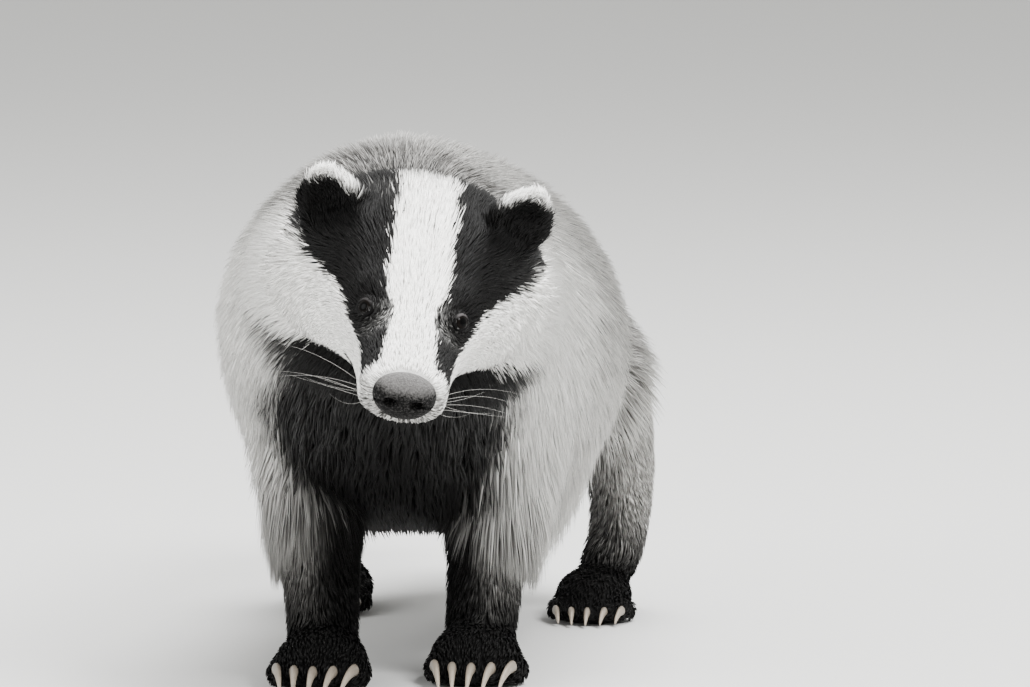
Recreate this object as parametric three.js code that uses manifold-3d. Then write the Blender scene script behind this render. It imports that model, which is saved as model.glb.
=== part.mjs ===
// A European badger at life size, standing on all fours with its head held low and tipped a little to one side.
// Lengths are millimetres and +Z is up. The animal faces -Y and its left side is +X.
// The origin lies on the floor under the middle of its bounding box.
// Each part of the body is one closed solid, with a gap of GAP to the parts it meets.
import * as THREE from "three";
import { mergeVertices } from "three/addons/utils/BufferGeometryUtils.js";
import Module from "manifold-3d";

const wasm = await Module();
wasm.setup();

const GAP = 0.3;
const LEFT = 1;
const RIGHT = -1;
const SIDES = { left: LEFT, right: RIGHT };

// Numbers between the rows of a table, on a smooth curve through them. Each row starts with its place.
function between(rows, place) {
  const last = rows.length - 1;
  const at = THREE.MathUtils.clamp(place, rows[0][0], rows[last][0]);
  let i = 0;
  while (i < last - 1 && at > rows[i + 1][0]) i += 1;
  const [low, high] = [rows[i], rows[i + 1]];
  const before = rows[Math.max(i - 1, 0)];
  const after = rows[Math.min(i + 2, last)];
  const span = high[0] - low[0];
  const t = (at - low[0]) / span;
  return low.slice(1).map((_, k) => {
    const column = k + 1;
    const start = ((high[column] - before[column]) / (high[0] - before[0])) * span;
    const end = ((after[column] - low[column]) / (after[0] - low[0])) * span;
    const step = high[column] - low[column];
    return low[column] + t * start + t * t * (3 * step - 2 * start - end) + t ** 3 * (start + end - 2 * step);
  });
}

// Evenly seeded chance, so that every build gives the same coat.
function chance(seed) {
  let state = seed;
  return (low, high) => {
    state = (state * 1664525 + 1013904223) % 4294967296;
    return low + ((high - low) * state) / 4294967296;
  };
}

// A closed geometry as a solid that can be joined and cut.
function solid(geometry, matrix = new THREE.Matrix4()) {
  const bare = new THREE.BufferGeometry()
    .setAttribute("position", geometry.getAttribute("position").clone())
    .setIndex(geometry.index ? geometry.index.clone() : null)
    .applyMatrix4(matrix);
  const merged = mergeVertices(bare, 1e-4);
  const triVerts = new Uint32Array(merged.index.array);
  if (matrix.determinant() < 0) triVerts.reverse();
  return new wasm.Manifold(
    new wasm.Mesh({ numProp: 3, vertProperties: merged.attributes.position.array, triVerts }),
  );
}

// The largest closed surface of a solid, without sealed hollows or loose scraps.
function largest(made) {
  return made.simplify(0.03).decompose().reduce((most, one) => (one.volume() > most.volume() ? one : most));
}

// A closed skin through rings of points, with one point closing each end.
function skinned(rings, first, last) {
  const around = rings[0].length;
  const points = [first, ...rings.flat(), last];
  const index = [];
  for (let k = 0; k < around; k += 1) {
    const next = (k + 1) % around;
    index.push(0, 1 + k, 1 + next);
    for (let r = 0; r < rings.length - 1; r += 1) {
      const [here, there] = [1 + r * around, 1 + (r + 1) * around];
      index.push(here + k, there + k, here + next);
      index.push(here + next, there + k, there + next);
    }
    const end = 1 + (rings.length - 1) * around;
    index.push(end + next, end + k, points.length - 1);
  }
  return new THREE.BufferGeometry().setFromPoints(points).setIndex(index);
}

// A rounded form along a straight axis. Its rows say how far along, where the ring's middle lies
// (to the side and up), and its half width, height above and depth below that middle. The two
// numbers of full say how square its upper and lower halves are, where 2 is a true ellipse.
class Form {
  constructor(rows, { origin = [0, 0, 0], axis = [0, 1, 0], side = [1, 0, 0], full = [2, 2], relief = () => 0 } = {}) {
    this.rows = rows;
    this.origin = new THREE.Vector3(...origin);
    this.axis = new THREE.Vector3(...axis).normalize();
    this.side = new THREE.Vector3(...side);
    this.up = new THREE.Vector3().crossVectors(this.side, this.axis);
    this.powers = full.map((value) => 2 / value);
    this.relief = relief;
    this.start = rows[0][0];
    this.end = rows[rows.length - 1][0];
  }

  place(along, side, up) {
    return this.origin.clone().addScaledVector(this.axis, along)
      .addScaledVector(this.side, side).addScaledVector(this.up, up);
  }

  middle(along) {
    const [side, up] = between(this.rows, along);
    return this.place(along, side, up);
  }

  point(along, angle) {
    const [side, up, wide, above, below] = between(this.rows, along);
    const [c, s] = [Math.cos(angle), Math.sin(angle)];
    const raised = this.relief(along, angle);
    const power = this.powers[s > 0 ? 0 : 1];
    const across = Math.sign(c) * Math.abs(c) ** power * (wide + raised);
    const high = Math.sign(s) * Math.abs(s) ** power * ((s > 0 ? above : below) + raised);
    return this.place(along, side + across, up + high);
  }

  normal(along, angle) {
    const [da, dt] = [0.5, 0.01];
    const [a, b] = [Math.max(along - da, this.start), Math.min(along + da, this.end)];
    const lengthwise = this.point(b, angle).sub(this.point(a, angle));
    const round = this.point(along, angle + dt).sub(this.point(along, angle - dt));
    return lengthwise.cross(round).normalize();
  }

  // A point raised above the surface by a depth.
  raised(along, angle, depth) {
    return this.point(along, angle).addScaledVector(this.normal(along, angle), depth);
  }

  // The form as a solid, its surface moved out by depth(along, angle). Rings crowd towards round ends.
  solid({ depth = () => 0, from = this.start, to = this.end, rings = 12, around = 16, crowd = true } = {}) {
    const loops = Array.from({ length: rings }, (_, i) => {
      const even = i / (rings - 1);
      const t = crowd ? (1 - Math.cos(Math.PI * even)) / 2 : even;
      const along = from + (to - from) * t;
      return Array.from({ length: around }, (__, k) => {
        const angle = (2 * Math.PI * k) / around;
        return this.raised(along, angle, depth(along, angle));
      });
    });
    const middle = (ring) => ring.reduce((sum, p) => sum.add(p), new THREE.Vector3()).divideScalar(around);
    return solid(skinned(loops, middle(loops[0]), middle(loops[rings - 1])));
  }

  // Points that follow the coat's lie from a root: back along the form, and down its sides by lean.
  lie(along, angle, length, lean) {
    const steps = 8;
    const found = [];
    let [a, t] = [along, angle];
    for (let i = 0; i <= steps; i += 1) {
      const here = this.point(a, t);
      found.push({ here, normal: this.normal(a, t) });
      const pace = length / steps;
      const lengthwise = this.point(Math.min(a + 1, this.end), t).distanceTo(here) / Math.min(1, this.end - a);
      const round = this.point(a, t + 0.02).distanceTo(here) / 0.02;
      const down = lean * Math.cos(t);
      a += (pace * Math.cos(down)) / Math.max(lengthwise, 1);
      t -= (pace * Math.sin(down)) / Math.max(round, 5);
      if (a > this.end - 1) break;
    }
    return found;
  }
}

// One flat, tapered lock of long coat with a low ridge. It starts under the core of the coat, bends
// with the form and comes up to the tips' height.
function lock(form, { along, angle, length, width, sunk, tip, lean, ridge, sag = 0 }) {
  const path = form.lie(along, angle, length, lean);
  const reach = (path.length - 1) / 8;
  const spots = [0, 0.32, 0.66, 1].map((t) => {
    const place = Math.min(t, reach) * 8;
    const i = Math.min(Math.floor(place), path.length - 2);
    const [low, high] = [path[i], path[i + 1]];
    const here = low.here.clone().lerp(high.here, place - i);
    const normal = low.normal.clone().lerp(high.normal, place - i).normalize();
    if (t > reach) {
      const onward = high.here.clone().sub(low.here).normalize();
      here.addScaledVector(onward, (t - reach) * length);
      here.z -= END_DROP * (t - reach) * length;
    }
    here.addScaledVector(normal, THREE.MathUtils.lerp(-sunk, tip, t ** 0.8));
    here.z -= sag * t * t;
    return { here, normal };
  });
  const shape = [[0.62, 0.9], [1, 1], [0.72, 0.8]];
  const rings = shape.map(([wide, high], i) => {
    const onward = spots[i + 1].here.clone().sub(spots[Math.max(i - 1, 0)].here);
    const across = new THREE.Vector3().crossVectors(onward, spots[i].normal).normalize();
    const up = new THREE.Vector3().crossVectors(across, onward).normalize();
    const half = (width * wide) / 2;
    return [
      spots[i].here.clone().addScaledVector(across, half),
      spots[i].here.clone().addScaledVector(up, ridge * high),
      spots[i].here.clone().addScaledVector(across, -half),
    ];
  });
  const root = rings[0].reduce((sum, p) => sum.add(p), new THREE.Vector3()).divideScalar(3);
  return solid(skinned(rings, root, spots[3].here));
}

// A box-shaped region between two corners, for cutting.
function region(low, high) {
  const size = high.map((v, i) => v - low[i]);
  const middle = high.map((v, i) => (v + low[i]) / 2);
  return solid(new THREE.BoxGeometry(...size), new THREE.Matrix4().makeTranslation(...middle));
}

const FAR = 2000;
const above = (z) => region([-FAR, -FAR, z], [FAR, FAR, FAR]);
const below = (z) => region([-FAR, -FAR, -FAR], [FAR, FAR, z]);

// A ball stretched to three half sizes and placed, by default without turning.
function ball(half, at, segments = [12, 8], turn = new THREE.Euler()) {
  const matrix = new THREE.Matrix4().compose(
    new THREE.Vector3(...at),
    new THREE.Quaternion().setFromEuler(turn),
    new THREE.Vector3(...half),
  );
  return solid(new THREE.SphereGeometry(1, ...segments), matrix);
}

// The trunk, from inside the back of the head to the rump: place along Y, then the ring.
const TRUNK = [
  [-305, 24, 236, 46, 36, 34],
  [-265, 16, 226, 62, 58, 48],
  [-225, 8, 217, 74, 72, 64],
  [-170, 1, 208, 82, 81, 88],
  [-105, 0, 196, 87, 88, 103],
  [-20, 0, 178, 92, 94, 95],
  [90, 0, 164, 88, 97, 78],
  [180, 0, 154, 80, 97, 60],
  [245, 0, 167, 68, 71, 54],
  [288, 0, 171, 44, 43, 36],
  [306, 0, 174, 20, 20, 17],
];
const COAT_BACK = 20;
const COAT_BELLY = 13;
const COAT_NAPE = 13;
const CORE_SHARE = 0.45;
const ROOT_SUNK = 5;
const CROWDING = 0.97;
const END_DROP = 0.35;
const trunk = new Form(TRUNK, { full: [1.75, 2.15] });

// How far the tips of the trunk's coat stand off the skin.
function coatDepth(along, angle) {
  const back = THREE.MathUtils.lerp(COAT_BELLY, COAT_BACK, THREE.MathUtils.smoothstep(Math.sin(angle), -0.9, 0.1));
  const grown = THREE.MathUtils.smoothstep(along, -300, -130);
  return THREE.MathUtils.lerp(Math.min(back, COAT_NAPE), back, grown);
}
const coreDepth = (along, angle) => CORE_SHARE * coatDepth(along, angle);

// The tail hangs behind the rump.
const TAIL_DROP = THREE.MathUtils.degToRad(32);
const TAIL_ROOT = [0, 280, 184];
const TAIL = [
  [-14, 0, 0, 18, 15, 15],
  [30, 0, 0, 15, 12, 12],
  [75, 0, -2, 10, 8, 8],
  [102, 0, -4, 6, 5, 5],
  [112, 0, -5, 2, 2, 2],
];
const TAIL_COAT = 19;
const tail = new Form(TAIL, {
  origin: TAIL_ROOT,
  axis: [0, Math.cos(TAIL_DROP), -Math.sin(TAIL_DROP)],
});
const tailCore = (along) => CORE_SHARE * tailDepth(along);
function tailDepth(along) {
  const grown = THREE.MathUtils.lerp(0.7, 1, THREE.MathUtils.smoothstep(along, 0, 60));
  return TAIL_COAT * grown * (1 - 0.75 * THREE.MathUtils.smoothstep(along, 60, 112));
}

// The parts along the trunk meet at flared cuts: each cut starts inside the skin and opens
// backwards at the same rate as the coat rises, so that the locks in front lie over those behind.
const FLARE = 0.17;
function flared(form, start, depth, inset) {
  const sunk = 5;
  const free = 75;
  return form.solid({
    from: start + inset * 2,
    rings: 13,
    around: 18,
    depth: (along, angle) => {
      const run = along - start;
      return depth(along, angle) - sunk + FLARE * run + Math.max(0, run - free) * 0.8 - inset;
    },
  });
}

const NECK_START = -283;
const TORSO_START = -196;
const TAIL_START = 4;

// Legs stand on straight axes from the trunk down. The rows give the place down from the top.
const LEG_TOP = 190;
const FORE = {
  name: "fore", x: 42, y: -118, split: 104, wrist: 35,
  rows: [
    [0, -6, 12, 22, 28, 28],
    [25, 0, 12, 30, 36, 34],
    [70, 6, 10, 27, 30, 30],
    [112, 4, 4, 23, 23, 24],
    [150, 1, -3, 20, 18, 19],
    [172, 0, -8, 20, 18, 19],
  ],
  palm: { half: [25, 30, 19], at: [-1, -22, 14] },
  toes: { half: [7.2, 17, 8.6], spread: 43, reach: 43, arch: 11, high: 7.6 },
  claw: { length: 27, root: 3.1, high: 11.5, bend: 0.75 },
};
const HIND = {
  name: "hind", x: 78, y: 196, split: 98, wrist: 40,
  rows: [
    [0, -34, -10, 12, 24, 24],
    [18, -20, -12, 24, 42, 42],
    [55, 1, -18, 25, 46, 46],
    [98, 12, -2, 20, 30, 32],
    [140, 11, 16, 17, 20, 21],
    [170, 3, 14, 18, 21, 21],
  ],
  palm: { half: [22, 42, 17], at: [-1, -14, 12] },
  toes: { half: [6.4, 18, 7.8], spread: 38, reach: 50, arch: 8, high: 6.6 },
  claw: { length: 15, root: 2.5, high: 8, bend: 0.9 },
};
const STRIDE = { fore_left: 10, fore_right: -14, hind_left: -12, hind_right: 14 };
const LEG_FUR = 3;
const ANKLE_GROWN = 0.5;

function leg(kind, side, stride) {
  const origin = [kind.x * side, kind.y + stride, LEG_TOP];
  const rows = kind.rows.map(([along, out, ...rest]) => [along, out * side, ...rest]);
  const form = new Form(rows, { origin, axis: [0, 0, -1] });
  return (grow) => form.solid({ depth: () => LEG_FUR + grow, rings: 10, around: 12, crowd: false });
}

// A claw: a horn that curves forwards and down from its root to a point.
function claw({ length, root, bend }) {
  const steps = 4;
  const sides = 5;
  const rings = Array.from({ length: steps }, (_, i) => {
    const t = i / steps;
    const turn = bend * t;
    const middle = new THREE.Vector3(0, (-length * Math.sin(turn)) / bend, (-length * (1 - Math.cos(turn))) / bend);
    const thick = root * (1 - 0.75 * t);
    return Array.from({ length: sides }, (__, k) => {
      const angle = (2 * Math.PI * k) / sides;
      const high = 1.25 * thick * Math.sin(angle);
      return middle.clone().add(
        new THREE.Vector3(-0.85 * thick * Math.cos(angle), -high * Math.sin(turn), high * Math.cos(turn)),
      );
    });
  });
  const tip = new THREE.Vector3(0, (-length * Math.sin(bend)) / bend, (-length * (1 - Math.cos(bend))) / bend);
  return solid(skinned(rings, new THREE.Vector3(), tip));
}

// Where the five toes of a paw stand, and how far each turns out.
function toes({ x, y, toes: size }, side, stride) {
  const count = 5;
  return Array.from({ length: count }, (_, i) => {
    const across = i / (count - 1) - 0.5;
    return {
      x: x * side + across * size.spread,
      y: y + stride - size.reach + size.arch * (2 * across) ** 2,
      turn: -across * 0.42,
    };
  });
}

const CLAW_SUNK = 6;
const clawNodes = [];
function paw(kind, side, stride) {
  const { palm, toes: size } = kind;
  const foot = { x: kind.x * side, y: kind.y + stride };
  const spots = toes(kind, side, stride);
  const toe = ({ x, y, turn }, grow) => ball(
    size.half.map((half) => half + grow), [x, y, size.high], [6, 5], new THREE.Euler(0, 0, turn),
  );
  const sole = ball(palm.half, [foot.x + palm.at[0] * side, foot.y + palm.at[1], palm.at[2]], [10, 6]);
  const ankle = leg(kind, side, stride)(ANKLE_GROWN);
  spots.forEach((spot, i) => {
    const root = new THREE.Matrix4()
      .makeTranslation(spot.x, spot.y - size.half[1] + CLAW_SUNK, kind.claw.high)
      .multiply(new THREE.Matrix4().makeRotationZ(spot.turn));
    const name = `claw_${kind.name}_${side === LEFT ? "left" : "right"}_${i + 1}`;
    clawNodes.push([name, largest(claw(kind.claw).transform(root.elements).subtract(toe(spot, GAP)))]);
  });
  const whole = wasm.Manifold.union([ankle, sole, ...spots.map((spot) => toe(spot, 0))]);
  return largest(whole.intersect(above(0)).intersect(below(kind.wrist - GAP / 2)));
}

// The head has a frame of its own: X to the animal's left, Y back from the nose, Z up.
const NOSE_AT = [33, -396, 185];
const HEAD_PITCH = THREE.MathUtils.degToRad(26);
const HEAD_ROLL = THREE.MathUtils.degToRad(9.5);
const HEAD_YAW = THREE.MathUtils.degToRad(9);
const headPlace = new THREE.Matrix4()
  .makeTranslation(...NOSE_AT)
  .multiply(new THREE.Matrix4().makeRotationZ(HEAD_YAW))
  .multiply(new THREE.Matrix4().makeRotationY(HEAD_ROLL))
  .multiply(new THREE.Matrix4().makeRotationX(HEAD_PITCH));

const HEAD = [
  [3, 0, -4, 10, 10, 11],
  [8, 0, -5, 18.5, 14.5, 18],
  [16, 0, -5, 23.5, 17, 23.5],
  [30, 0, -4, 25, 19, 27],
  [46, 0, -3, 28, 22.5, 30.5],
  [60, 0, 0, 34.5, 25.5, 34],
  [76, 0, -1, 43, 35, 38],
  [95, 0, -6, 54, 50, 38],
  [118, 0, -12, 63, 62, 37],
  [140, 0, -13, 67, 61, 40],
  [160, 0, -10, 60, 49, 38],
  [178, 0, -8, 44, 32, 28],
];
// Rises and hollows of the face: place, angle round the ring in degrees, reach along, spread round, height.
const FACE = {
  socket: [58, 42, 9, 17, -3.2],
  brow: [71, 55, 8, 15, 1.8],
  cheekbone: [84, 0, 13, 22, 2.5],
  upperLip: [26, -28, 20, 14, 1.6],
  chin: [18, -80, 12, 22, -1.5],
};
function faceRelief(along, angle) {
  const round = THREE.MathUtils.radToDeg(Math.asin(Math.sin(angle)));
  return Object.values(FACE).reduce((sum, [place, at, reach, spread, height]) => {
    const off = ((along - place) / reach) ** 2 + ((round - at) / spread) ** 2;
    return sum + height * Math.exp(-off);
  }, 0);
}
const head = new Form(HEAD, { full: [2.1, 2.25], relief: faceRelief });

const EYE = { radius: 6.6, at: [22.4, 61.3, 11.7], facing: [0.62, -0.56, 0.55] };
const LID = { radius: 5.5, thick: 1.7, out: 3.2, squint: 0.86 };
const EAR = { half: [19, 8, 23], at: [53, 121, 34], lean: 0.36, turn: 0.35 };
const EAR_LIFT = { [LEFT]: 6, [RIGHT]: 0 };
const EAR_SHIFT = { [LEFT]: -4, [RIGHT]: -4 };
const CUP = { half: [14.5, 9, 18.5], forward: 6.5, up: 0 };
const NOSE = { half: [16.8, 8.5, 14], at: [0, 4, -1.8] };
const NOSTRIL = { half: [3.6, 4.5, 2.4], at: [6.9, -2.5, -2.8] };
const NOSTRIL_SLIT = { half: [4.2, 4, 1.2], at: [11.7, 0.5, -4.6] };

const sided = (side, [x, ...rest]) => [x * side, ...rest];

function eyeball(side, grow) {
  return ball(Array(3).fill(EYE.radius + grow), sided(side, EYE.at), [12, 8]);
}

function lids(side) {
  const facing = new THREE.Vector3(...sided(side, EYE.facing)).normalize();
  const turn = new THREE.Matrix4().lookAt(facing, new THREE.Vector3(), new THREE.Vector3(0, 0, 1));
  const at = new THREE.Vector3(...sided(side, EYE.at)).addScaledVector(facing, LID.out);
  const place = new THREE.Matrix4().setPosition(at).multiply(turn).scale(new THREE.Vector3(1.08, LID.squint, 1));
  return solid(new THREE.TorusGeometry(LID.radius, LID.thick, 5, 12), place);
}

function noseSolid(grow) {
  return ball(NOSE.half.map((h) => h + grow), NOSE.at, [12, 8]);
}

function nose() {
  const cuts = Object.values(SIDES).flatMap((side) => [
    ball(NOSTRIL.half, sided(side, NOSTRIL.at), [7, 4]),
    ball(NOSTRIL_SLIT.half, sided(side, NOSTRIL_SLIT.at), [6, 4], new THREE.Euler(0, 0.5 * side, 0)),
  ]);
  const groove = region([-0.5, -20, -FAR], [0.5, NOSE.at[1] - NOSE.half[1] + 1.6, -3]);
  return wasm.Manifold.union([...cuts, groove]);
}

function ear(side) {
  const turn = new THREE.Euler(0, EAR.lean * side, EAR.turn * side, "ZYX");
  const [across, back, high] = EAR.at;
  const at = new THREE.Vector3(across * side + EAR_SHIFT[side], back, high + EAR_LIFT[side]);
  const cupAt = new THREE.Vector3(0, -CUP.forward, CUP.up).applyEuler(turn).add(at);
  return ball(EAR.half, at.toArray(), [14, 9], turn).subtract(ball(CUP.half, cupAt.toArray(), [12, 7], turn));
}

// The mouth line in the head's frame, back along the lips to the corner and then down to the throat.
const MOUTH = [[-20, -21, 0.5], [8, -21.5, 0.5], [30, -23, 0.5], [46, -21, 0.5], [54, -17.5, 0.4]];
const JAW_BACK = [[62, -24, 0.15], [72, -60, 0.15]];
function jawRegion(inset) {
  const upper = [...MOUTH, ...JAW_BACK].map(([y, z, half]) => [y - half * inset, z - half * inset]);
  const outline = new THREE.Shape(
    [...upper, [-20, -80]].map(([y, z]) => new THREE.Vector2(y, z)),
  );
  const wide = 160;
  const made = new THREE.ExtrudeGeometry(outline, { depth: wide, bevelEnabled: false });
  const turned = new THREE.Matrix4().makeBasis(
    new THREE.Vector3(0, 1, 0), new THREE.Vector3(0, 0, 1), new THREE.Vector3(1, 0, 0),
  );
  return solid(made, new THREE.Matrix4().makeTranslation(-wide / 2, 0, 0).multiply(turned));
}

// The locks of one part's coat, rooted in rows along its form. Each row is set half a lock round
// from the one before it.
function locks(form, { core, depth, from, to, rows, width, length, seed, lean, ridge, sag = () => 0, only = () => true }) {
  const draw = chance(seed);
  const grown = [];
  for (let row = 0; row < rows; row += 1) {
    const along = THREE.MathUtils.lerp(from, to, rows > 1 ? row / (rows - 1) : 0);
    const [, , wide, high, low] = between(form.rows, along);
    const count = Math.max(6, Math.round((Math.PI * (2 * wide + high + low)) / 2 / (width * CROWDING)));
    for (let k = 0; k < count; k += 1) {
      const angle = ((k + (row % 2) / 2 + draw(-0.18, 0.18)) / count) * 2 * Math.PI;
      const place = along + draw(-5, 5);
      const [long, wider, slant] = [draw(0.86, 1.14), draw(0.9, 1.12), draw(-0.16, 0.16)];
      const reach = Math.min(place + length * long, form.end);
      if (only(place, angle)) {
        grown.push(lock(form, {
          along: place,
          angle,
          length: length * long,
          width: width * wider,
          sunk: ROOT_SUNK - core(place, angle),
          tip: depth(reach, angle) - ridge / 2,
          lean: lean + slant,
          ridge,
          sag: sag(place, angle),
        }));
      }
    }
  }
  return grown;
}

// The parts.
const parts = {};
const legs = {};
for (const kind of [FORE, HIND]) {
  for (const [word, side] of Object.entries(SIDES)) {
    const name = `${kind.name}_${word}`;
    const stride = STRIDE[name];
    const made = leg(kind, side, stride);
    legs[name] = { made, kind };
    parts[`${kind.name}leg_${word}`] = largest(
      made(0).intersect(below(kind.split - GAP)).intersect(above(kind.wrist + GAP / 2)),
    );
    parts[`${kind.name}paw_${word}`] = paw(kind, side, stride);
  }
}
clawNodes.forEach(([name, made]) => { parts[name] = made; });

const core = trunk.solid({ depth: coreDepth, rings: 17, around: 20 });
const TRUNK_LOCKS = { core: coreDepth, depth: coatDepth, width: 58, length: 122, lean: 0.45, ridge: 4 };

// The long fringe low on the flank, longest behind the elbow: how far it hangs, and the angle
// round the trunk where it grows, with its spread.
const FRINGE = 42;
const FRINGE_AT = -44;
const FRINGE_SPREAD = 24;
function fringe(along, angle) {
  const low = THREE.MathUtils.radToDeg(Math.asin(Math.sin(angle)));
  const reach = 1 - THREE.MathUtils.smoothstep(along, 10, 190);
  return FRINGE * reach * Math.exp(-(((low - FRINGE_AT) / FRINGE_SPREAD) ** 2));
}
const neckLocks = locks(trunk, { ...TRUNK_LOCKS, from: -268, to: -216, rows: 2, seed: 19 });
const torsoLocks = locks(trunk, { ...TRUNK_LOCKS, from: -178, to: 250, rows: 7, seed: 9, sag: fringe });
const tailLocks = locks(tail, {
  core: tailCore, depth: tailDepth, from: 16, to: 62, rows: 2, width: 23, length: 66, seed: 6, lean: 0, ridge: 3,
});
const neckRegion = (inset) => flared(trunk, NECK_START, coreDepth, inset);
const torsoRegion = (inset) => flared(trunk, TORSO_START, coreDepth, inset);
const tailRegion = (inset) => flared(tail, TAIL_START, () => 0, inset);

const upperLegs = Object.values(legs).map(({ made, kind }) => made(0).intersect(above(kind.split)));
const clearOfLegs = Object.values(legs).map(({ made }) => made(GAP));
const clearOfLowerLegs = Object.values(legs).map(({ made, kind }) => made(GAP).intersect(below(kind.split - GAP / 2)));
const torsoCoat = wasm.Manifold.union([core, ...torsoLocks]).intersect(torsoRegion(GAP / 2));
parts.torso = largest(
  wasm.Manifold.union([torsoCoat, ...upperLegs])
    .subtract(wasm.Manifold.union([tailRegion(-GAP / 2), ...clearOfLowerLegs])),
);
parts.neck = largest(
  wasm.Manifold.union([core, ...neckLocks]).intersect(neckRegion(GAP / 2))
    .subtract(wasm.Manifold.union([torsoRegion(-GAP / 2), ...clearOfLegs])),
);
const tailCoat = wasm.Manifold.union([tail.solid({ depth: tailCore, rings: 7, around: 9 }), ...tailLocks]);
parts.tail = largest(tailCoat.intersect(tailRegion(GAP / 2)));

const RUFF_DEPTH = 20;
const CROWN_DEPTH = 6;
const ruffDepth = (along, angle) => {
  const back = THREE.MathUtils.smoothstep(along, 72, 140);
  const low = 1 - THREE.MathUtils.smoothstep(Math.sin(angle), 0.1, 0.75);
  return back * THREE.MathUtils.lerp(CROWN_DEPTH, RUFF_DEPTH, low);
};
const headFrame = headPlace.clone().invert();
const inHead = (made) => made.transform(headFrame.elements);
const ruffCore = (along, angle) => CORE_SHARE * ruffDepth(along, angle);
const ruffLocks = locks(head, {
  core: ruffCore,
  depth: ruffDepth,
  from: 96,
  to: 144,
  rows: 3,
  width: 32,
  length: 56,
  seed: 3,
  lean: 0.1,
  ridge: 3,
  only: (along, angle) => Math.sin(angle) < 0.35 || along > 135,
});
const headCoat = wasm.Manifold.union([head.solid({ depth: ruffCore, rings: 22, around: 24 }), ...ruffLocks]);
const eyes = Object.values(SIDES).map((side) => eyeball(side, GAP));
const face = wasm.Manifold.union([headCoat, lids(LEFT), lids(RIGHT)])
  .subtract(wasm.Manifold.union([...eyes, noseSolid(GAP)]))
  .subtract(inHead(neckRegion(-GAP / 2)));
parts.head = largest(face.subtract(jawRegion(-1)));
parts.jaw = largest(face.intersect(jawRegion(1)));
parts.nose = largest(noseSolid(0).subtract(nose()));
const headClear = head.solid({ depth: (a, t) => ruffCore(a, t) + GAP, rings: 22, around: 24 });
for (const [word, side] of Object.entries(SIDES)) {
  parts[`eye_${word}`] = eyeball(side, 0);
  parts[`ear_${word}`] = largest(ear(side).subtract(headClear));
}

// The finish of each part, by the first word of its name.
const FINISHES = {
  head: { color: 0xd9d6d0, roughness: 0.85 },
  jaw: { color: 0x1c1b1a, roughness: 0.85 },
  nose: { color: 0x2b2a2a, roughness: 0.4 },
  ear: { color: 0x171616, roughness: 0.85 },
  eye: { color: 0x0a0808, roughness: 0.08 },
  neck: { color: 0x8f8c87, roughness: 0.9 },
  torso: { color: 0x85827d, roughness: 0.9 },
  tail: { color: 0xaaa69e, roughness: 0.9 },
  foreleg: { color: 0x1b1a19, roughness: 0.88 },
  hindleg: { color: 0x1b1a19, roughness: 0.88 },
  forepaw: { color: 0x161514, roughness: 0.88 },
  hindpaw: { color: 0x161514, roughness: 0.88 },
  claw: { color: 0x6f665a, roughness: 0.45 },
};
const OF_THE_HEAD = ["head", "jaw", "nose", "ear", "eye"];

function mesh(name, made) {
  const { numProp, vertProperties, triVerts } = made.getMesh();
  const points = [];
  for (let i = 0; i < vertProperties.length; i += numProp) points.push(...vertProperties.slice(i, i + 3));
  const geometry = new THREE.BufferGeometry()
    .setAttribute("position", new THREE.Float32BufferAttribute(points, 3))
    .setIndex([...triVerts]);
  geometry.computeVertexNormals();
  const finish = FINISHES[name.split("_")[0]];
  const found = new THREE.Mesh(geometry, new THREE.MeshStandardMaterial({ ...finish, metalness: 0 }));
  found.name = name;
  return found;
}

const badger = new THREE.Group();
const headGroup = new THREE.Group();
headPlace.decompose(headGroup.position, headGroup.quaternion, headGroup.scale);
badger.add(headGroup);
for (const [name, made] of Object.entries(parts)) {
  const group = OF_THE_HEAD.includes(name.split("_")[0]) ? headGroup : badger;
  group.add(mesh(name, made));
}

// The middle of the bounding box goes over the origin.
badger.updateMatrixWorld(true);
const box = new THREE.Box3().setFromObject(badger, true);
const centre = box.getCenter(new THREE.Vector3());
badger.position.set(-centre.x, -centre.y, -box.min.z);

export default badger;
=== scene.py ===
"""A European badger at life size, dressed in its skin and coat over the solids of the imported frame."""

import math

import bmesh
import bpy
import numpy as np
from bpy.props import FloatProperty, FloatVectorProperty, IntProperty, PointerProperty
from mathutils import Euler, Matrix, Vector
from mathutils.kdtree import KDTree


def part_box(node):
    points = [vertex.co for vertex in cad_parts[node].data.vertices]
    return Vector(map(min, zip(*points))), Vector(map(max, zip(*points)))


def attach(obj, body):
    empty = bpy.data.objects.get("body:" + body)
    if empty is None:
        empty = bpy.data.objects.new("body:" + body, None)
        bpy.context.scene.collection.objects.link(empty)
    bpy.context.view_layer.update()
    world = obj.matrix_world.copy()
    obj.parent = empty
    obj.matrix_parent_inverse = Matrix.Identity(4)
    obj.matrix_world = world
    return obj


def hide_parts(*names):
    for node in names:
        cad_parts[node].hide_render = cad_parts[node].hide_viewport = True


bl_info = {
    "name": "European badger",
    "version": (1, 0, 0),
    "blender": (4, 5, 0),
    "location": "3D View > Sidebar > Badger",
    "description": "Dresses the solids of a European badger in skin, coat, eyes, nose, claws and whiskers",
    "category": "Object",
}

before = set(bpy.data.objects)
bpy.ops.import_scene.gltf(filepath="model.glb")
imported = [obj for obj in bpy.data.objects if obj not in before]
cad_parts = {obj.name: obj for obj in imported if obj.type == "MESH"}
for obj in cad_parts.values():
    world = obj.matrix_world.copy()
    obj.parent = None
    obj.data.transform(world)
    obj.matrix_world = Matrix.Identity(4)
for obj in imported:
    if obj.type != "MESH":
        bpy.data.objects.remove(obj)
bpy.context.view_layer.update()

# Shapes are worked out in millimetres, in the frame that the solids were drawn in, where the animal
# faces -Y and its left side is +X. They go out in metres, moved to the frame's own origin.
MM = 0.001
SIDES = {"left": 1, "right": -1}


TINY = 1e-6


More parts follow.
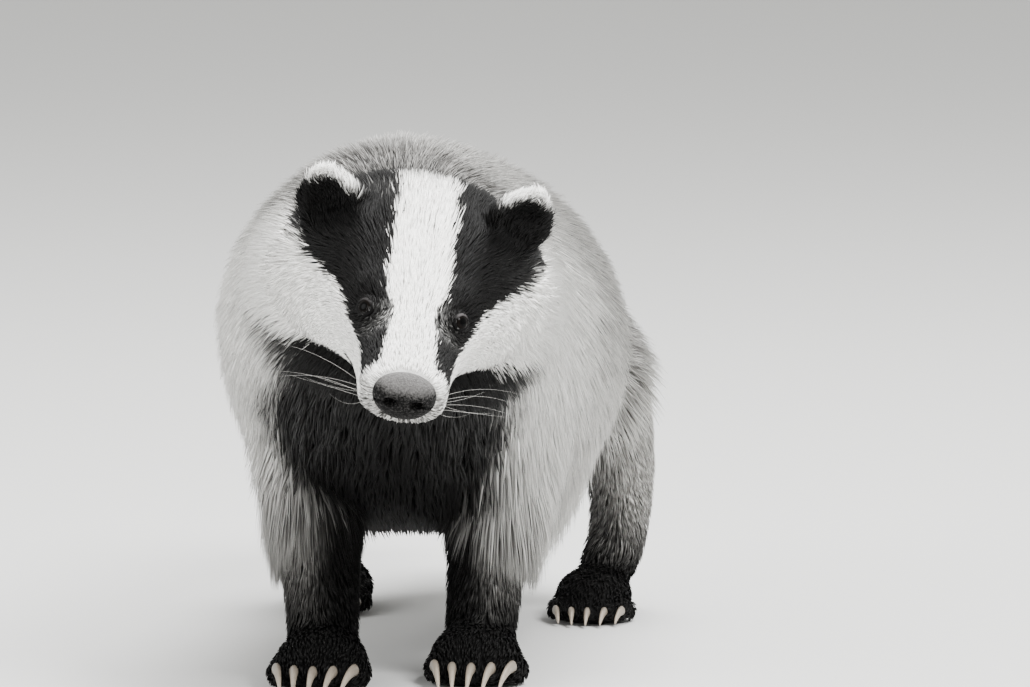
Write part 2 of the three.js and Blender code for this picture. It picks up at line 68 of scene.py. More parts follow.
# Small sums on arrays.
def unit(vectors):
    return vectors / np.maximum(np.linalg.norm(vectors, axis=-1, keepdims=True), 1e-9)


def dot(a, b):
    return np.sum(a * b, axis=-1, keepdims=True)


def on_skin(vectors, normal):
    """The direction of vectors along the skin."""
    return unit(vectors - normal * dot(normal, vectors))


def blend(value, low, high):
    """0 below low, 1 above high and a smooth rise between."""
    t = np.clip((value - low) / (high - low), 0, 1)
    return t * t * (3 - 2 * t)


def fade(value, low, high):
    """1 below low, 0 above high and a smooth fall between."""
    return 1 - blend(value, low, high)


def mix(a, b, share):
    return a + (b - a) * share


def bump(value, at, spread):
    return np.exp(-(((value - at) / spread) ** 2))


def fold(angle):
    """The angle round a form in degrees, from -90 underneath to 90 on top, alike on both sides."""
    return np.degrees(np.arcsin(np.clip(np.sin(angle), -1, 1)))


def turns(count):
    """Angles evenly spaced round a circle."""
    return np.arange(count) * 2 * np.pi / count


def on_ball(polar, turn):
    """Points of a ball of radius 1, by the angle from its pole and the turn round it."""
    wide = np.sin(polar)
    return np.stack([wide * np.cos(turn), wide * np.sin(turn), np.cos(polar) + 0 * turn], -1)


def mirrored(place, side):
    return np.array(place, float) * (side, 1, 1)


def between(rows, place):
    """Numbers between the rows of a table, on a smooth curve through them."""
    rows = np.asarray(rows, float)
    last = len(rows) - 1
    at = np.clip(np.asarray(place, float), rows[0, 0], rows[last, 0])
    i = np.searchsorted(rows[1:last, 0], at)
    low, high = rows[i], rows[i + 1]
    before, after = rows[np.maximum(i - 1, 0)], rows[np.minimum(i + 2, last)]
    span = high[..., :1] - low[..., :1]
    t = (at[..., None] - low[..., :1]) / span
    start = (high - before)[..., 1:] / (high - before)[..., :1] * span
    end = (after - low)[..., 1:] / (after - low)[..., :1] * span
    step = (high - low)[..., 1:]
    return low[..., 1:] + t * start + t * t * (3 * step - 2 * start - end) + t**3 * (start + end - 2 * step)


def level(rows, place):
    """One number between the rows of a table of two columns."""
    return between(rows, place)[..., 0]


# How far a form's directions are looked for along it and round it.
STEP, TURN = 1.0, 0.01


class Form:
    """A rounded form along an axis, as in the solids. A row gives the place along it, the ring's
    middle to the side and up, its half width, its height above and its depth below that middle."""

    def __init__(self, rows, origin=(0, 0, 0), axis=(0, 1, 0), full=(2, 2), relief=None, place=Matrix()):
        self.rows = np.array(rows, float)
        self.origin = np.array(origin, float)
        self.axis = unit(np.array(axis, float))
        self.side = np.array([1.0, 0, 0])
        self.up = np.cross(self.side, self.axis)
        self.full = full
        self.relief = relief or (lambda along, angle: np.zeros_like(along))
        self.turn = np.array(place.to_3x3())
        self.at = np.array(place.translation)
        self.start, self.end = self.rows[0, 0], self.rows[-1, 0]

    def ring(self, along):
        return np.moveaxis(between(self.rows, along), -1, 0)

    def point(self, along, angle):
        along, angle = np.broadcast_arrays(np.asarray(along, float), angle)
        side, up, wide, above, below = self.ring(along)
        c, s = np.cos(angle), np.sin(angle)
        rise = self.relief(along, angle)
        power = 2 / np.where(s > 0, *self.full)
        side = side + np.sign(c) * np.abs(c) ** power * (wide + rise)
        up = up + np.sign(s) * np.abs(s) ** power * (np.where(s > 0, above, below) + rise)
        local = self.origin + along[..., None] * self.axis
        local = local + side[..., None] * self.side + up[..., None] * self.up
        return local @ self.turn.T + self.at

    def lengthwise(self, along, angle):
        a, b = np.maximum(along - STEP / 2, self.start), np.minimum(along + STEP / 2, self.end)
        return unit(self.point(b, angle) - self.point(a, angle))

    def raised(self, along, angle, depth):
        """Points moved out from the form by a depth."""
        around = self.point(along, angle + TURN) - self.point(along, angle - TURN)
        normal = unit(np.cross(self.lengthwise(along, angle), around))
        return self.point(along, angle) + normal * np.asarray(depth)[..., None]

    def where(self, points):
        """Where points lie on the form: place along it, angle round it and how far outside it."""
        local = (points - self.at) @ self.turn - self.origin
        raw = local @ self.axis
        along = np.clip(raw, self.start, self.end)
        side, up, wide, above, below = self.ring(along)
        du, dv = local @ self.side - side, local @ self.up - up
        high = np.where(dv > 0, above, below)
        full = np.where(dv > 0, *self.full)
        rise = 0
        for _ in range(2):
            c = np.sign(du) * (np.abs(du) / (wide + rise)) ** (full / 2)
            s = np.sign(dv) * (np.abs(dv) / (high + rise)) ** (full / 2)
            angle = np.arctan2(s, c)
            rise = self.relief(along, angle)
        reach = np.maximum((c * c + s * s) ** (1 / full), TINY)
        out = np.hypot(du, dv) * (1 - 1 / reach)
        past = np.abs(raw - along)
        return along, angle, np.where(past > 0, np.hypot(np.maximum(out, 0), past), out)

    def shell(self, depth=0, rings=60, around=72, crowd=True):
        """The form's closed skin, moved out by a depth, with its rings crowded at the ends if wanted."""
        even = np.linspace(0, 1, rings)
        t = (1 - np.cos(np.pi * even)) / 2 if crowd else even
        along = (self.start + (self.end - self.start) * t)[:, None]
        along, angle = np.broadcast_arrays(along, turns(around))
        return closed(self.raised(along, angle, np.full(along.shape, float(depth))))


def banded(rings, around, wrap=False):
    """Triangles from each ring of points to the next, and from the last to the first if they wrap."""
    k = np.arange(around)
    ring = np.arange(rings if wrap else rings - 1)[:, None]
    here, there = ring * around, (ring + 1) % rings * around
    a, b, c, d = here + k, here + (k + 1) % around, there + k, there + (k + 1) % around
    return np.stack([np.stack([a, c, b], -1), np.stack([b, c, d], -1)], 2).reshape(-1, 3)


def closed(grid, first=None, last=None):
    """A closed skin through rings of points, with one point closing each end."""
    rings, around = grid.shape[:2]
    first = grid[0].mean(0) if first is None else first
    last = grid[-1].mean(0) if last is None else last
    points = np.concatenate([[first], grid.reshape(-1, 3), [last]])
    k = np.arange(around)
    after = (k + 1) % around
    end = 1 + (rings - 1) * around
    start = np.stack([np.zeros_like(k), 1 + k, 1 + after], -1)
    stop = np.stack([end + after, end + k, np.full_like(k, len(points) - 1)], -1)
    return points, np.concatenate([start, 1 + banded(rings, around), stop])


def joined(shells):
    """Several shells as one set of points and triangles."""
    points, faces = zip(*shells)
    first = np.cumsum([0] + [len(found) for found in points])
    return np.concatenate(points), np.concatenate([tris + count for tris, count in zip(faces, first)])


def globe(rings, around=48):
    """Rings of a ball of radius 1 from pole to pole along Z, and the two poles."""
    polar = (np.arange(1, rings) * np.pi / rings)[:, None]
    return on_ball(polar, turns(around)[None, :]), np.array([[0, 0, 1.0], [0, 0, -1.0]])


def ball(half, at, turn=np.eye(3), shape=lambda points: points):
    """A ball stretched to three half sizes, reshaped, turned and placed."""
    grid, poles = ((shape(points) * half) @ turn.T + at for points in globe(24))
    points, faces = closed(grid, *poles)
    return points, faces[:, ::-1]


# Meshes.
def linked(name, data):
    found = bpy.data.objects.new(name, data)
    bpy.context.scene.collection.objects.link(found)
    return found


def mesh_object(name, points, faces, material=None, **fields):
    """A smooth mesh object from points in millimetres and triangles, with fields kept at its points."""
    mesh = bpy.data.meshes.new(name)
    mesh.vertices.add(len(points))
    write_points(mesh, points)
    mesh.loops.add(faces.size)
    mesh.loops.foreach_set("vertex_index", faces.astype(np.int32).ravel())
    mesh.polygons.add(len(faces))
    mesh.polygons.foreach_set("loop_start", np.arange(0, faces.size, 3, dtype=np.int32))
    mesh.polygons.foreach_set("use_smooth", np.full(len(faces), True))
    mesh.update(calc_edges=True)
    mesh.validate()
    if material:
        mesh.materials.append(material)
    for field, values in fields.items():
        keep(mesh, field, values)
    return linked(name, mesh)


def write_points(mesh, points):
    mesh.vertices.foreach_set("co", ((points + SHIFT) * MM).astype(np.float32).ravel())
    mesh.update()


def read(items, field, wide, kind=np.float32):
    """One field of a mesh's items, a row for each."""
    found = np.empty(len(items) * wide, kind)
    items.foreach_get(field, found)
    return found.reshape(-1, wide)


def points_of(mesh):
    return read(mesh.vertices, "co", 3).astype(float) / MM - SHIFT


def normals_of(mesh):
    return read(mesh.vertex_normals, "vector", 3).astype(float)


def edges_of(mesh):
    return read(mesh.edges, "vertices", 2, np.int32)


def triangles_of(mesh):
    mesh.calc_loop_triangles()
    return read(mesh.loop_triangles, "vertices", 3, np.int32)


def keep(mesh, name, values):
    """Stores one number or one vector for each point of a mesh."""
    kind, field = ("FLOAT", "value") if values.ndim == 1 else ("FLOAT_VECTOR", "vector")
    mesh.attributes.new(name, kind, "POINT").data.foreach_set(field, values.astype(np.float32).ravel())


def kept(mesh, name):
    made = mesh.attributes[name]
    if made.data_type == "FLOAT_VECTOR":
        return read(made.data, "vector", 3).astype(float)
    return read(made.data, "value", 1)[:, 0].astype(float)


def spread_over(values, edges, rounds, share=0.6):
    """Values at the points of a mesh, evened out along its edges."""
    a, b = edges.T
    size = len(values)
    count = np.maximum(np.bincount(a, minlength=size) + np.bincount(b, minlength=size), 1)
    flat = values.reshape(size, -1).astype(float)
    for _ in range(rounds):
        near = [np.bincount(a, row[b], size) + np.bincount(b, row[a], size) for row in flat.T]
        flat += share * (np.stack(near, 1) / count[:, None] - flat)
    return flat.reshape(values.shape)


# The trunk, tail and legs, with the rows of the solids.
TRUNK = [
    [-305, 24, 236, 46, 36, 34],
    [-265, 16, 226, 62, 58, 48],
    [-225, 8, 217, 74, 72, 64],
    [-170, 1, 208, 82, 81, 88],
    [-105, 0, 196, 87, 88, 103],
    [-20, 0, 178, 92, 94, 95],
    [90, 0, 164, 88, 97, 78],
    [180, 0, 154, 80, 97, 60],
    [245, 0, 167, 68, 71, 54],
    [288, 0, 171, 44, 43, 36],
    [306, 0, 174, 20, 20, 17],
]
TAIL = [
    [-14, 0, 0, 18, 15, 15],
    [30, 0, 0, 15, 12, 12],
    [75, 0, -2, 10, 8, 8],
    [102, 0, -4, 6, 5, 5],
    [112, 0, -5, 2, 2, 2],
]
TAIL_ROOT = (0, 280, 184)
TAIL_DROP = math.radians(32)
LEG_TOP = 190
FORE = {
    "place": (42, -118),
    "rows": [
        [0, -6, 12, 22, 28, 28],
        [25, 0, 12, 30, 36, 34],
        [70, 6, 10, 27, 30, 30],
        [112, 4, 4, 23, 23, 24],
        [150, 1, -3, 20, 18, 19],
        [172, 0, -8, 20, 18, 19],
    ],
    "palm": ((25, 30, 19), (-1, -22, 14)),
    "toes": {"half": (7.2, 17, 8.6), "spread": 43, "reach": 43, "arch": 11, "high": 7.6},
    "claw": {"length": 27, "root": 3.1, "high": 11.5, "bend": 0.75},
}
HIND = {
    "place": (78, 196),
    "rows": [
        [0, -34, -10, 12, 24, 24],
        [18, -20, -12, 24, 42, 42],
        [55, 1, -18, 25, 46, 46],
        [98, 12, -2, 20, 30, 32],
        [140, 11, 16, 17, 20, 21],
        [170, 3, 14, 18, 21, 21],
    ],
    "palm": ((22, 42, 17), (-1, -14, 12)),
    "toes": {"half": (6.4, 18, 7.8), "spread": 38, "reach": 50, "arch": 8, "high": 6.6},
    "claw": {"length": 15, "root": 2.5, "high": 8, "bend": 0.9},
}
# Each leg's shape, its side and how far it stands behind its place.
LEGS = {
    "fore_left": (FORE, 1, 10),
    "fore_right": (FORE, -1, -14),
    "hind_left": (HIND, 1, -12),
    "hind_right": (HIND, -1, 14),
}
TOES = 5
TOE_TURN = 0.42
CLAW_SUNK = 6

# The head has a frame of its own: X to the animal's left, Y back from the nose, Z up.
NOSE_AT = (33, -396, 185)
HEAD_TURN = Euler([math.radians(angle) for angle in (26, 9.5, 9)], "XYZ")
HEAD_PLACE = Matrix.Translation(NOSE_AT) @ HEAD_TURN.to_matrix().to_4x4()
HEAD = [
    [3, 0, -4, 10, 10, 11],
    [8, 0, -5, 18.5, 14.5, 18],
    [16, 0, -5, 23.5, 17, 23.5],
    [30, 0, -4, 25, 19, 27],
    [46, 0, -3, 28, 22.5, 30.5],
    [60, 0, 0, 34.5, 25.5, 34],
    [76, 0, -1, 43, 35, 38],
    [95, 0, -6, 54, 50, 38],
    [118, 0, -12, 63, 62, 37],
    [140, 0, -13, 67, 61, 40],
    [160, 0, -10, 60, 49, 38],
    [178, 0, -8, 44, 32, 28],
]
# Rises and hollows of the face: place, angle round the ring in degrees, reach along, spread, height.
FACE = {
    "socket": (58, 42, 9, 17, -3.2),
    "brow": (71, 55, 8, 15, 1.8),
    "cheekbone": (84, 0, 13, 22, 2.5),
    "upper lip": (26, -28, 20, 14, 1.6),
    "chin": (18, -80, 12, 22, -1.5),
}
EYE_AT = (22.4, 61.3, 11.7)
EYE_RADIUS = 6.6
EYE_FACING = (0.62, -0.56, 0.55)
EAR_HALF = (19, 8, 23)
EAR_AT = {"left": (49, 121, 40), "right": (49, 121, 34)}
EAR_LEAN, EAR_TURN = 0.36, 0.35
EAR_DISH = 0.42
# An ear's mean half size, which makes a distance of a share of it.
EAR_MEAN = 14
NOSE_HALF = (16.8, 8.5, 14)
NOSE_MIDDLE = (0, 4, -1.8)
# The line of the mouth: place back from the nose, and height.
MOUTH = [[-20, -21], [8, -21.5], [30, -23], [46, -21], [56, -16.5]]
MOUTH_END = MOUTH[-1][0]

# How far the skin lies inside the solids.
FACE_SUNK, LEG_SUNK, PAW_SUNK, EAR_SUNK = 2.2, 2, 1.2, 0.8
# The skin's faces are made smaller this far back on the head, and smaller again up to the second.
FINE_BACK = (104, 40)
# The lids open this many radians each way, and reach this far out from the eye and round it.
LID_OPEN = (0.62, 0.47)
LID_THICK, LID_REACH, LID_PAST = 0.7, 14, 1.4
BEHIND_LIDS = 1.2
NEAR_EYE, FAR_FROM_LIDS = 20, 9.0
# The face keeps its true form between its front and the ears, and the lips press a groove into it.
FACE_FRONT, FACE_BACK, FACE_EARS = (4, 7), (112, 132), (3, 9)
FACE_OFF = 6
GROOVE_DEPTH, GROOVE_WIDTH, GROOVE_END = 1.4, 1.3, (50, 58)


def face_relief(along, angle):
    rise = np.zeros_like(along, dtype=float)
    for place, at, reach, spread, height in FACE.values():
        rise += height * bump(along, place, reach) * bump(fold(angle), at, spread)
    return rise


def leg_form(kind, side, stride):
    x, y = kind["place"]
    rows = [[along, out * side, *rest] for along, out, *rest in kind["rows"]]
    return Form(rows, origin=(x * side, y + stride, LEG_TOP), axis=(0, 0, -1))


HEAD_FORM = Form(HEAD, full=(2.1, 2.25), relief=face_relief, place=HEAD_PLACE)
TRUNK_FORM = Form(TRUNK, full=(1.75, 2.15))
TAIL_FORM = Form(TAIL, origin=TAIL_ROOT, axis=(0, math.cos(TAIL_DROP), -math.sin(TAIL_DROP)))
LEG_FORMS = {name: leg_form(*leg) for name, leg in LEGS.items()}
HEAD_AXES = np.array(HEAD_PLACE.to_3x3())
HEAD_ORIGIN = np.array(HEAD_PLACE.translation)


def from_head(points):
    return np.asarray(points, float) @ HEAD_AXES.T + HEAD_ORIGIN


def to_head(points):
    return (points - HEAD_ORIGIN) @ HEAD_AXES


# The solids' own origin is found again from the left eye, whose place on the head is known.
eye_low, eye_high = (np.array(corner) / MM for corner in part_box("eye_left"))
SHIFT = (eye_low + eye_high) / 2 - from_head(EYE_AT)


# The skin.
def ear_turn(side):
    return HEAD_AXES @ np.array(Euler((0, EAR_LEAN * side, EAR_TURN * side), "XYZ").to_matrix())


def ear_place(word):
    return from_head(mirrored(EAR_AT[word], SIDES[word]))


def ear_levels(points):
    """How far outside each ear the points lie, and where they are on it, from -1 to 1 each way."""
    found = {}
    for word, side in SIDES.items():
        local = (points - ear_place(word)) @ ear_turn(side) / EAR_HALF
        found[word] = ((np.linalg.norm(local, axis=-1) - 1) * EAR_MEAN, local)
    return found


def dished(points):
    """The front of an ear sinks in towards its back, inside the rim."""
    rim = np.hypot(points[..., 0], points[..., 2])
    inside = (points[..., 1] < 0) * fade(rim, 0.55, 0.98)
    found = points.copy()
    found[..., 1] = mix(points[..., 1], EAR_DISH, inside)
    return found


def around_z(angle):
    return np.array(Matrix.Rotation(angle, 3, "Z"))


def toe_places(kind, side, stride):
    """Where the toes of a paw stand, and how far each turns out."""
    x, y = kind["place"]
    size = kind["toes"]
    for i in range(TOES):
        across = i / (TOES - 1) - 0.5
        ahead = size["reach"] - size["arch"] * (2 * across) ** 2
        yield x * side + across * size["spread"], y + stride - ahead, -across * TOE_TURN


def paw_shells(kind, side, stride):
    half, (out, back, high) = kind["palm"]
    x, y = kind["place"]
    yield ball(np.array(half) - PAW_SUNK, np.array([(x + out) * side, y + stride + back, high]))
    for x, y, turn in toe_places(kind, side, stride):
        yield ball(np.array(kind["toes"]["half"]) - PAW_SUNK, (x, y, kind["toes"]["high"]), around_z(turn))


def flesh():
    """The closed forms under the coat, which the skin is drawn over."""
    shells = [TRUNK_FORM.shell(), HEAD_FORM.shell(-FACE_SUNK, rings=90, around=96)]
    shells.append(TAIL_FORM.shell(rings=40, around=40))
    shells += [form.shell(-LEG_SUNK, crowd=False) for form in LEG_FORMS.values()]
    for leg in LEGS.values():
        shells += paw_shells(*leg)
    for word, side in SIDES.items():
        shells.append(ball(np.array(EAR_HALF) - EAR_SUNK, ear_place(word), ear_turn(side), dished))
    return joined(shells)


def remeshed(points, faces, voxel):
    """One even skin over several closed forms."""
    rough = mesh_object("rough", points, faces)
    tool = rough.modifiers.new("voxels", "REMESH")
    tool.mode = "VOXEL"
    tool.voxel_size = voxel
    mesh = bpy.data.meshes.new_from_object(rough.evaluated_get(bpy.context.evaluated_depsgraph_get()))
    bpy.data.objects.remove(rough)
    return mesh


def refined(mesh):
    """Makes the faces of the head smaller, and those of the muzzle smaller again."""
    bm = bmesh.new()
    bm.from_mesh(mesh)
    for back in FINE_BACK:
        bm.verts.ensure_lookup_table()
        points = np.array([v.co for v in bm.verts]) / MM - SHIFT
        near = to_head(points)[:, 1] < back
        edges = [e for e in bm.edges if near[e.verts[0].index] and near[e.verts[1].index]]
        bmesh.ops.subdivide_edges(bm, edges=edges, cuts=1, use_grid_fill=True)
        bm.verts.index_update()
    bmesh.ops.triangulate(bm, faces=bm.faces[:])
    bm.to_mesh(mesh)
    bm.free()
    mesh.update()


def eye_middle(side):
    return from_head(mirrored(EYE_AT, side))


def eye_axes(side):
    """Columns: across the eye, up it and out of it."""
    out = unit(HEAD_AXES @ mirrored(EYE_FACING, side))
    up = on_skin(HEAD_AXES[:, 2], out)
    return np.stack([np.cross(up, out), up, out], 1)


def lid_edge(turn):
    """The almond that the lids leave open, as an angle from the eye's middle line."""
    wide, high = LID_OPEN
    return np.hypot(wide * np.cos(turn), high * np.sin(turn) * (1 - 0.25 * np.abs(np.cos(turn)) ** 3))


def round_eye(points, side):
    """How far points lie from an eye's middle, and how many radians outside its lids' edge."""
    local = (points - eye_middle(side)) @ eye_axes(side)
    reach = np.linalg.norm(local, axis=-1)
    polar = np.arccos(np.clip(local[..., 2] / np.maximum(reach, TINY), -1, 1))
    return reach, polar - lid_edge(np.arctan2(local[..., 1], local[..., 0]))


def past_lids(points):
    """How many radians points lie outside the nearer eye's lids, or a high number away from both eyes."""
    found = [round_eye(points, side) for side in SIDES.values()]
    return np.minimum(*(np.where(reach < NEAR_EYE, past, FAR_FROM_LIDS) for reach, past in found))


def lidded(points, side):
    """Draws the skin over an eye as its lids, and in behind it where they open."""
    reach, past = round_eye(points, side)
    over = np.maximum(reach, EYE_RADIUS + LID_THICK)
    under = np.minimum(reach, EYE_RADIUS - BEHIND_LIDS)
    target = mix(under, over, blend(past, -0.06, 0.1))
    middle = eye_middle(side)
    moved = middle + (points - middle) * (target / np.maximum(reach, TINY))[:, None]
    return np.where(((reach < LID_REACH) & (past < LID_PAST))[:, None], moved, points)


def faced(points):
    """Sets the skin of the face on its true form, with the lids and the line of the mouth pressed in."""
    along, angle, out = HEAD_FORM.where(points)
    _, back, high = to_head(points).T
    ears = np.minimum(*(outside for outside, _ in ear_levels(points).values()))
    share = fade(along, *FACE_BACK) * blend(along, *FACE_FRONT) * blend(ears, *FACE_EARS)
    share *= np.abs(out + FACE_SUNK) < FACE_OFF
    groove = GROOVE_DEPTH * bump(high - level(MOUTH, back), 0, GROOVE_WIDTH) * fade(back, *GROOVE_END)
    found = mix(points, HEAD_FORM.raised(along, angle, -FACE_SUNK - groove), share[:, None])
    for side in SIDES.values():
        found = lidded(found, side)
    return found


# The coat's depth over the skin and its length along its lie, part by part.
COAT_BACK, COAT_BELLY, COAT_NAPE = 20, 13, 13
COAT_THIGH, COAT_LEG, COAT_PAW = 7, 4, 2.4
TAIL_COAT = 19
FACE_DEPTH, RUFF_DEPTH, CROWN_DEPTH = 1.7, 20, 6
THIGH_LENGTH, LEG_LENGTH, PAW_LENGTH = 34, 13, 7.5
FLANK_LENGTH, BELLY_LENGTH = 64, 34
TAIL_LENGTH = (54, 40)
# Beside the eyes the coat parts round the lids, and is this much shorter.
LID_PARTING, LID_SHORT = 2.2, 0.75
# Shares of black and white in the grey coat, and where the middle stripe ends.
NAPE_DARK, BACK_DARK = 0.65, 0.34
SIDES_PALE_AND_LIT, BELLY_PALE, TAIL_PALE = 0.9, 0.22, 0.35
STRIPE_END = (126, 146)
# Over the place along the head, from the nose back: the coat's length, the middle stripe's half width
# and, in degrees round the head, the lower edges of the black band and of the white cheek.
FACE_LENGTH = [[0, 4.2], [20, 5.5], [45, 6.5], [62, 8], [80, 11], [100, 16], [125, 22], [150, 28], [178, 34]]
STRIPE_HALF = [
    [0, 14], [20, 13.6], [32, 12.4], [52, 11.8], [62, 14.2], [70, 15.4], [78, 14.6], [90, 14], [120, 14.2],
    [150, 14],
]
BAND_LOW = [
    [10, -14], [20, -2], [29, 3], [42, 10], [60, 15], [72, 23], [85, 26], [106, 25], [130, 22], [178, 20],
]
CHEEK_LOW = [
    [0, -46], [22, -46], [40, -47], [60, -48], [80, -45], [100, -37], [125, -27], [150, -20], [178, -18],
]
DOWN, FORWARD = np.array([0, 0, -1.0]), np.array([0, -1.0, -0.35])
FIELDS = ("lie", "depth", "length", "pale", "dark")


def leaning(lie, normal, amount):
    """A lie turned towards the ground by an amount in radians."""
    return unit(lie * np.cos(amount)[:, None] + on_skin(DOWN, normal) * np.sin(amount)[:, None])


def head_markings(points, angle):
    """The shares of white and black on the head: middle stripe, muzzle, cheeks and the bands between, with
    painted shade that darkens the lower muzzle.
    """
    across, back, high = to_head(points).T
    turn = fold(angle)
    half = level(STRIPE_HALF, back)
    stripe = fade(np.abs(across), half - 1, half + 1) * (high > -4) * fade(back, *STRIPE_END)
    chin = high < level(MOUTH, back)
    cheek = blend(level(BAND_LOW, back) - turn, -1.6, 1.6) * blend(turn - level(CHEEK_LOW, back), -4, 4)
    cheek *= 1 - chin * (back < 60) * blend(back, 19, 25)
    muzzle = fade(back, 13.5, 17) * (1 - chin * blend(back, 9, 15))
    white = np.maximum.reduce([stripe, muzzle, cheek])
    # Painted shade: the muzzle's white turns to speckled grey and black towards its lower side, as if light
    # from above left it in shade.
    muzzle_painted_shade = muzzle * fade(np.sin(angle), -0.4, 0.65)
    notch = 0.6 * muzzle * bump(across, 0.6, 1.1) * bump(back, 8, 3.5)
    mottled = 0.12 * bump(np.hypot(np.abs(across) - 16.5, (back - 48) / 1.4), 0, 5)
    to_grey = blend(back, 138, 172)
    pale = np.maximum(white * (1 - to_grey) * (1 - 0.75 * muzzle_painted_shade) - notch, mottled * (1 - white))
    greyed = to_grey * blend(turn, -40, -10) * (1 - NAPE_DARK * blend(np.sin(angle), 0.5, 0.85))
    return pale, np.maximum((1 - white) * (1 - greyed), 0.5 * muzzle_painted_shade)


def head_coat(points, normal):
    along, angle, out = HEAD_FORM.where(points)
    droop = 0.6 * blend(along, 45, 95) * np.abs(np.cos(angle))
    lie = leaning(HEAD_FORM.lengthwise(along, angle), normal, droop)
    lid = fade(past_lids(points), 0.1, 1.1)
    for side in SIDES.values():
        beside = lid * (to_head(points)[:, 0] * side > 0)
        away = unit(points - eye_middle(side))
        lie = unit(lie + LID_PARTING * beside[:, None] * on_skin(away, normal))
    low = fade(np.sin(angle), 0.1, 0.75)
    short = 1 - LID_SHORT * lid
    depth = (FACE_DEPTH + 0.95 * blend(along, 72, 140) * mix(CROWN_DEPTH, RUFF_DEPTH, low)) * short
    length = level(FACE_LENGTH, along) * (1 + 0.45 * low * blend(along, 80, 120)) * short
    return out, lie, depth, length, *head_markings(points, angle)


def trunk_coat(points, normal):
    """White to grey sides, partly paler fur and partly painted light, black throat, chest and belly, and a
    darker nape and back.
    """
    along, angle, out = TRUNK_FORM.where(points)
    # The head's coat alone covers the front of the trunk, which lies inside the head.
    out = out + 14 * fade(to_head(points)[:, 1], 110, 150)
    high = np.sin(angle)
    lie = leaning(TRUNK_FORM.lengthwise(along, angle), normal, 0.5 * np.abs(np.cos(angle)))
    behind = mix(COAT_BELLY, COAT_BACK, blend(high, -0.9, 0.1))
    depth = mix(np.minimum(behind, COAT_NAPE), behind, blend(along, -300, -130))
    length = mix(BELLY_LENGTH, FLANK_LENGTH, blend(high, -0.8, -0.1)) * mix(0.72, 1, blend(along, -290, -150))
    throat = -0.46 - 0.05 * np.clip(points[:, 0] / 40, -1, 1)
    under = mix(throat, -0.8, blend(along, -240, -120)) - 0.4 * blend(along, 130, 230)
    black = fade(high, under - 0.2, under + 0.2)
    # The white of the neck and shoulder sides is partly the coat's own paler fur and partly painted light,
    # brighter than the grey flank behind.
    sides = SIDES_PALE_AND_LIT * fade(along, -200, 0) * fade(high, 0.4, 0.85)
    pale = np.maximum(sides, BELLY_PALE * fade(high, -0.35, 0.2)) * (1 - black)
    back = BACK_DARK * blend(along, -230, -60) * blend(high, -0.3, 0.5)
    nape = NAPE_DARK * fade(along, -270, -150) * blend(high, 0.5, 0.85)
    return out, lie, depth, length, pale, np.maximum.reduce([black, back, nape])


def tail_coat(points, normal):
    along, angle, out = TAIL_FORM.where(points)
    depth = TAIL_COAT * mix(0.7, 1, blend(along, 0, 60)) * (1 - 0.7 * blend(along, 60, 112))
    length = mix(*TAIL_LENGTH, blend(along, 60, 112))
    none = np.zeros_like(out)
    return out - 3, TAIL_FORM.lengthwise(along, angle), depth, length, none + TAIL_PALE, none


def leg_coat(points, normal, name):
    """Black inside and below, greyer outside and above. On the forelegs the grey outer side is partly
    grizzled fur and partly painted light, the sheen of light on black fur.
    """
    form = LEG_FORMS[name]
    along, angle, out = form.where(points)
    height = points[:, 2]
    none = np.zeros_like(out)
    paw = fade(height, 26, 48)
    down = leaning(form.lengthwise(along, angle) + (0, 0.3, 0), normal, none)
    lie = mix(down, on_skin(FORWARD, normal), paw[:, None])
    depth = mix(mix(COAT_LEG, COAT_THIGH, blend(height, 90, 170)), COAT_PAW, paw)
    length = mix(mix(LEG_LENGTH, THIGH_LENGTH, blend(height, 70, 170)), PAW_LENGTH, paw)
    # On the forelegs the grey of the outer side is partly grizzled fur and partly painted light.
    outer = blend(np.cos(angle) * LEGS[name][1], -0.4, 0.45)
    grey = outer * mix(0, 0.72, blend(height, 25, 130))
    if name.startswith("hind"):
        grey = blend(height, 22, 90) * (0.45 + 0.5 * outer)
    return out, lie, depth, length, none, 1 - grey


def ear_coat(points, normal, word):
    """Black, with a white fringe along the top of the rim."""
    out, local = ear_levels(points)[word]
    across, _, tip = ear_turn(SIDES[word]).T
    lie = unit(tip + 0.5 * across * local[:, :1] - normal * dot(normal, tip))
    rim = np.hypot(local[:, 0], local[:, 2])
    fringe = blend(local[:, 2] - 0.25 * local[:, 0] * SIDES[word], 0.3, 0.6) * blend(rim, 0.62, 0.85)
    return out - 2.5, lie, mix(2.6, 3.4, fringe), mix(8, 11, fringe), fringe, 1 - fringe


OWNERS = ["head", "trunk", "tail", *LEG_FORMS, "ear_left", "ear_right"]
# The coats of neighbouring forms blend over this distance.
JOINING = 7
EVENED = 10


def coat_fields(points, normal):
    """The coat's fields at points of the skin, blended where the forms of the body meet."""
    coats = [head_coat(points, normal), trunk_coat(points, normal), tail_coat(points, normal)]
    coats += [leg_coat(points, normal, name) for name in LEG_FORMS]
    coats += [ear_coat(points, normal, word) for word in SIDES]
    out, *rest = (np.stack(values) for values in zip(*coats))
    weight = np.exp(-(((out - out.min(0)) / JOINING) ** 2))
    weight /= weight.sum(0)
    fields = {"owner": np.argmin(out, 0).astype(float)}
    for key, values in zip(FIELDS, rest):
        fields[key] = np.sum(weight.reshape(weight.shape + (1,) * (values.ndim - 2)) * values, 0)
    return fields


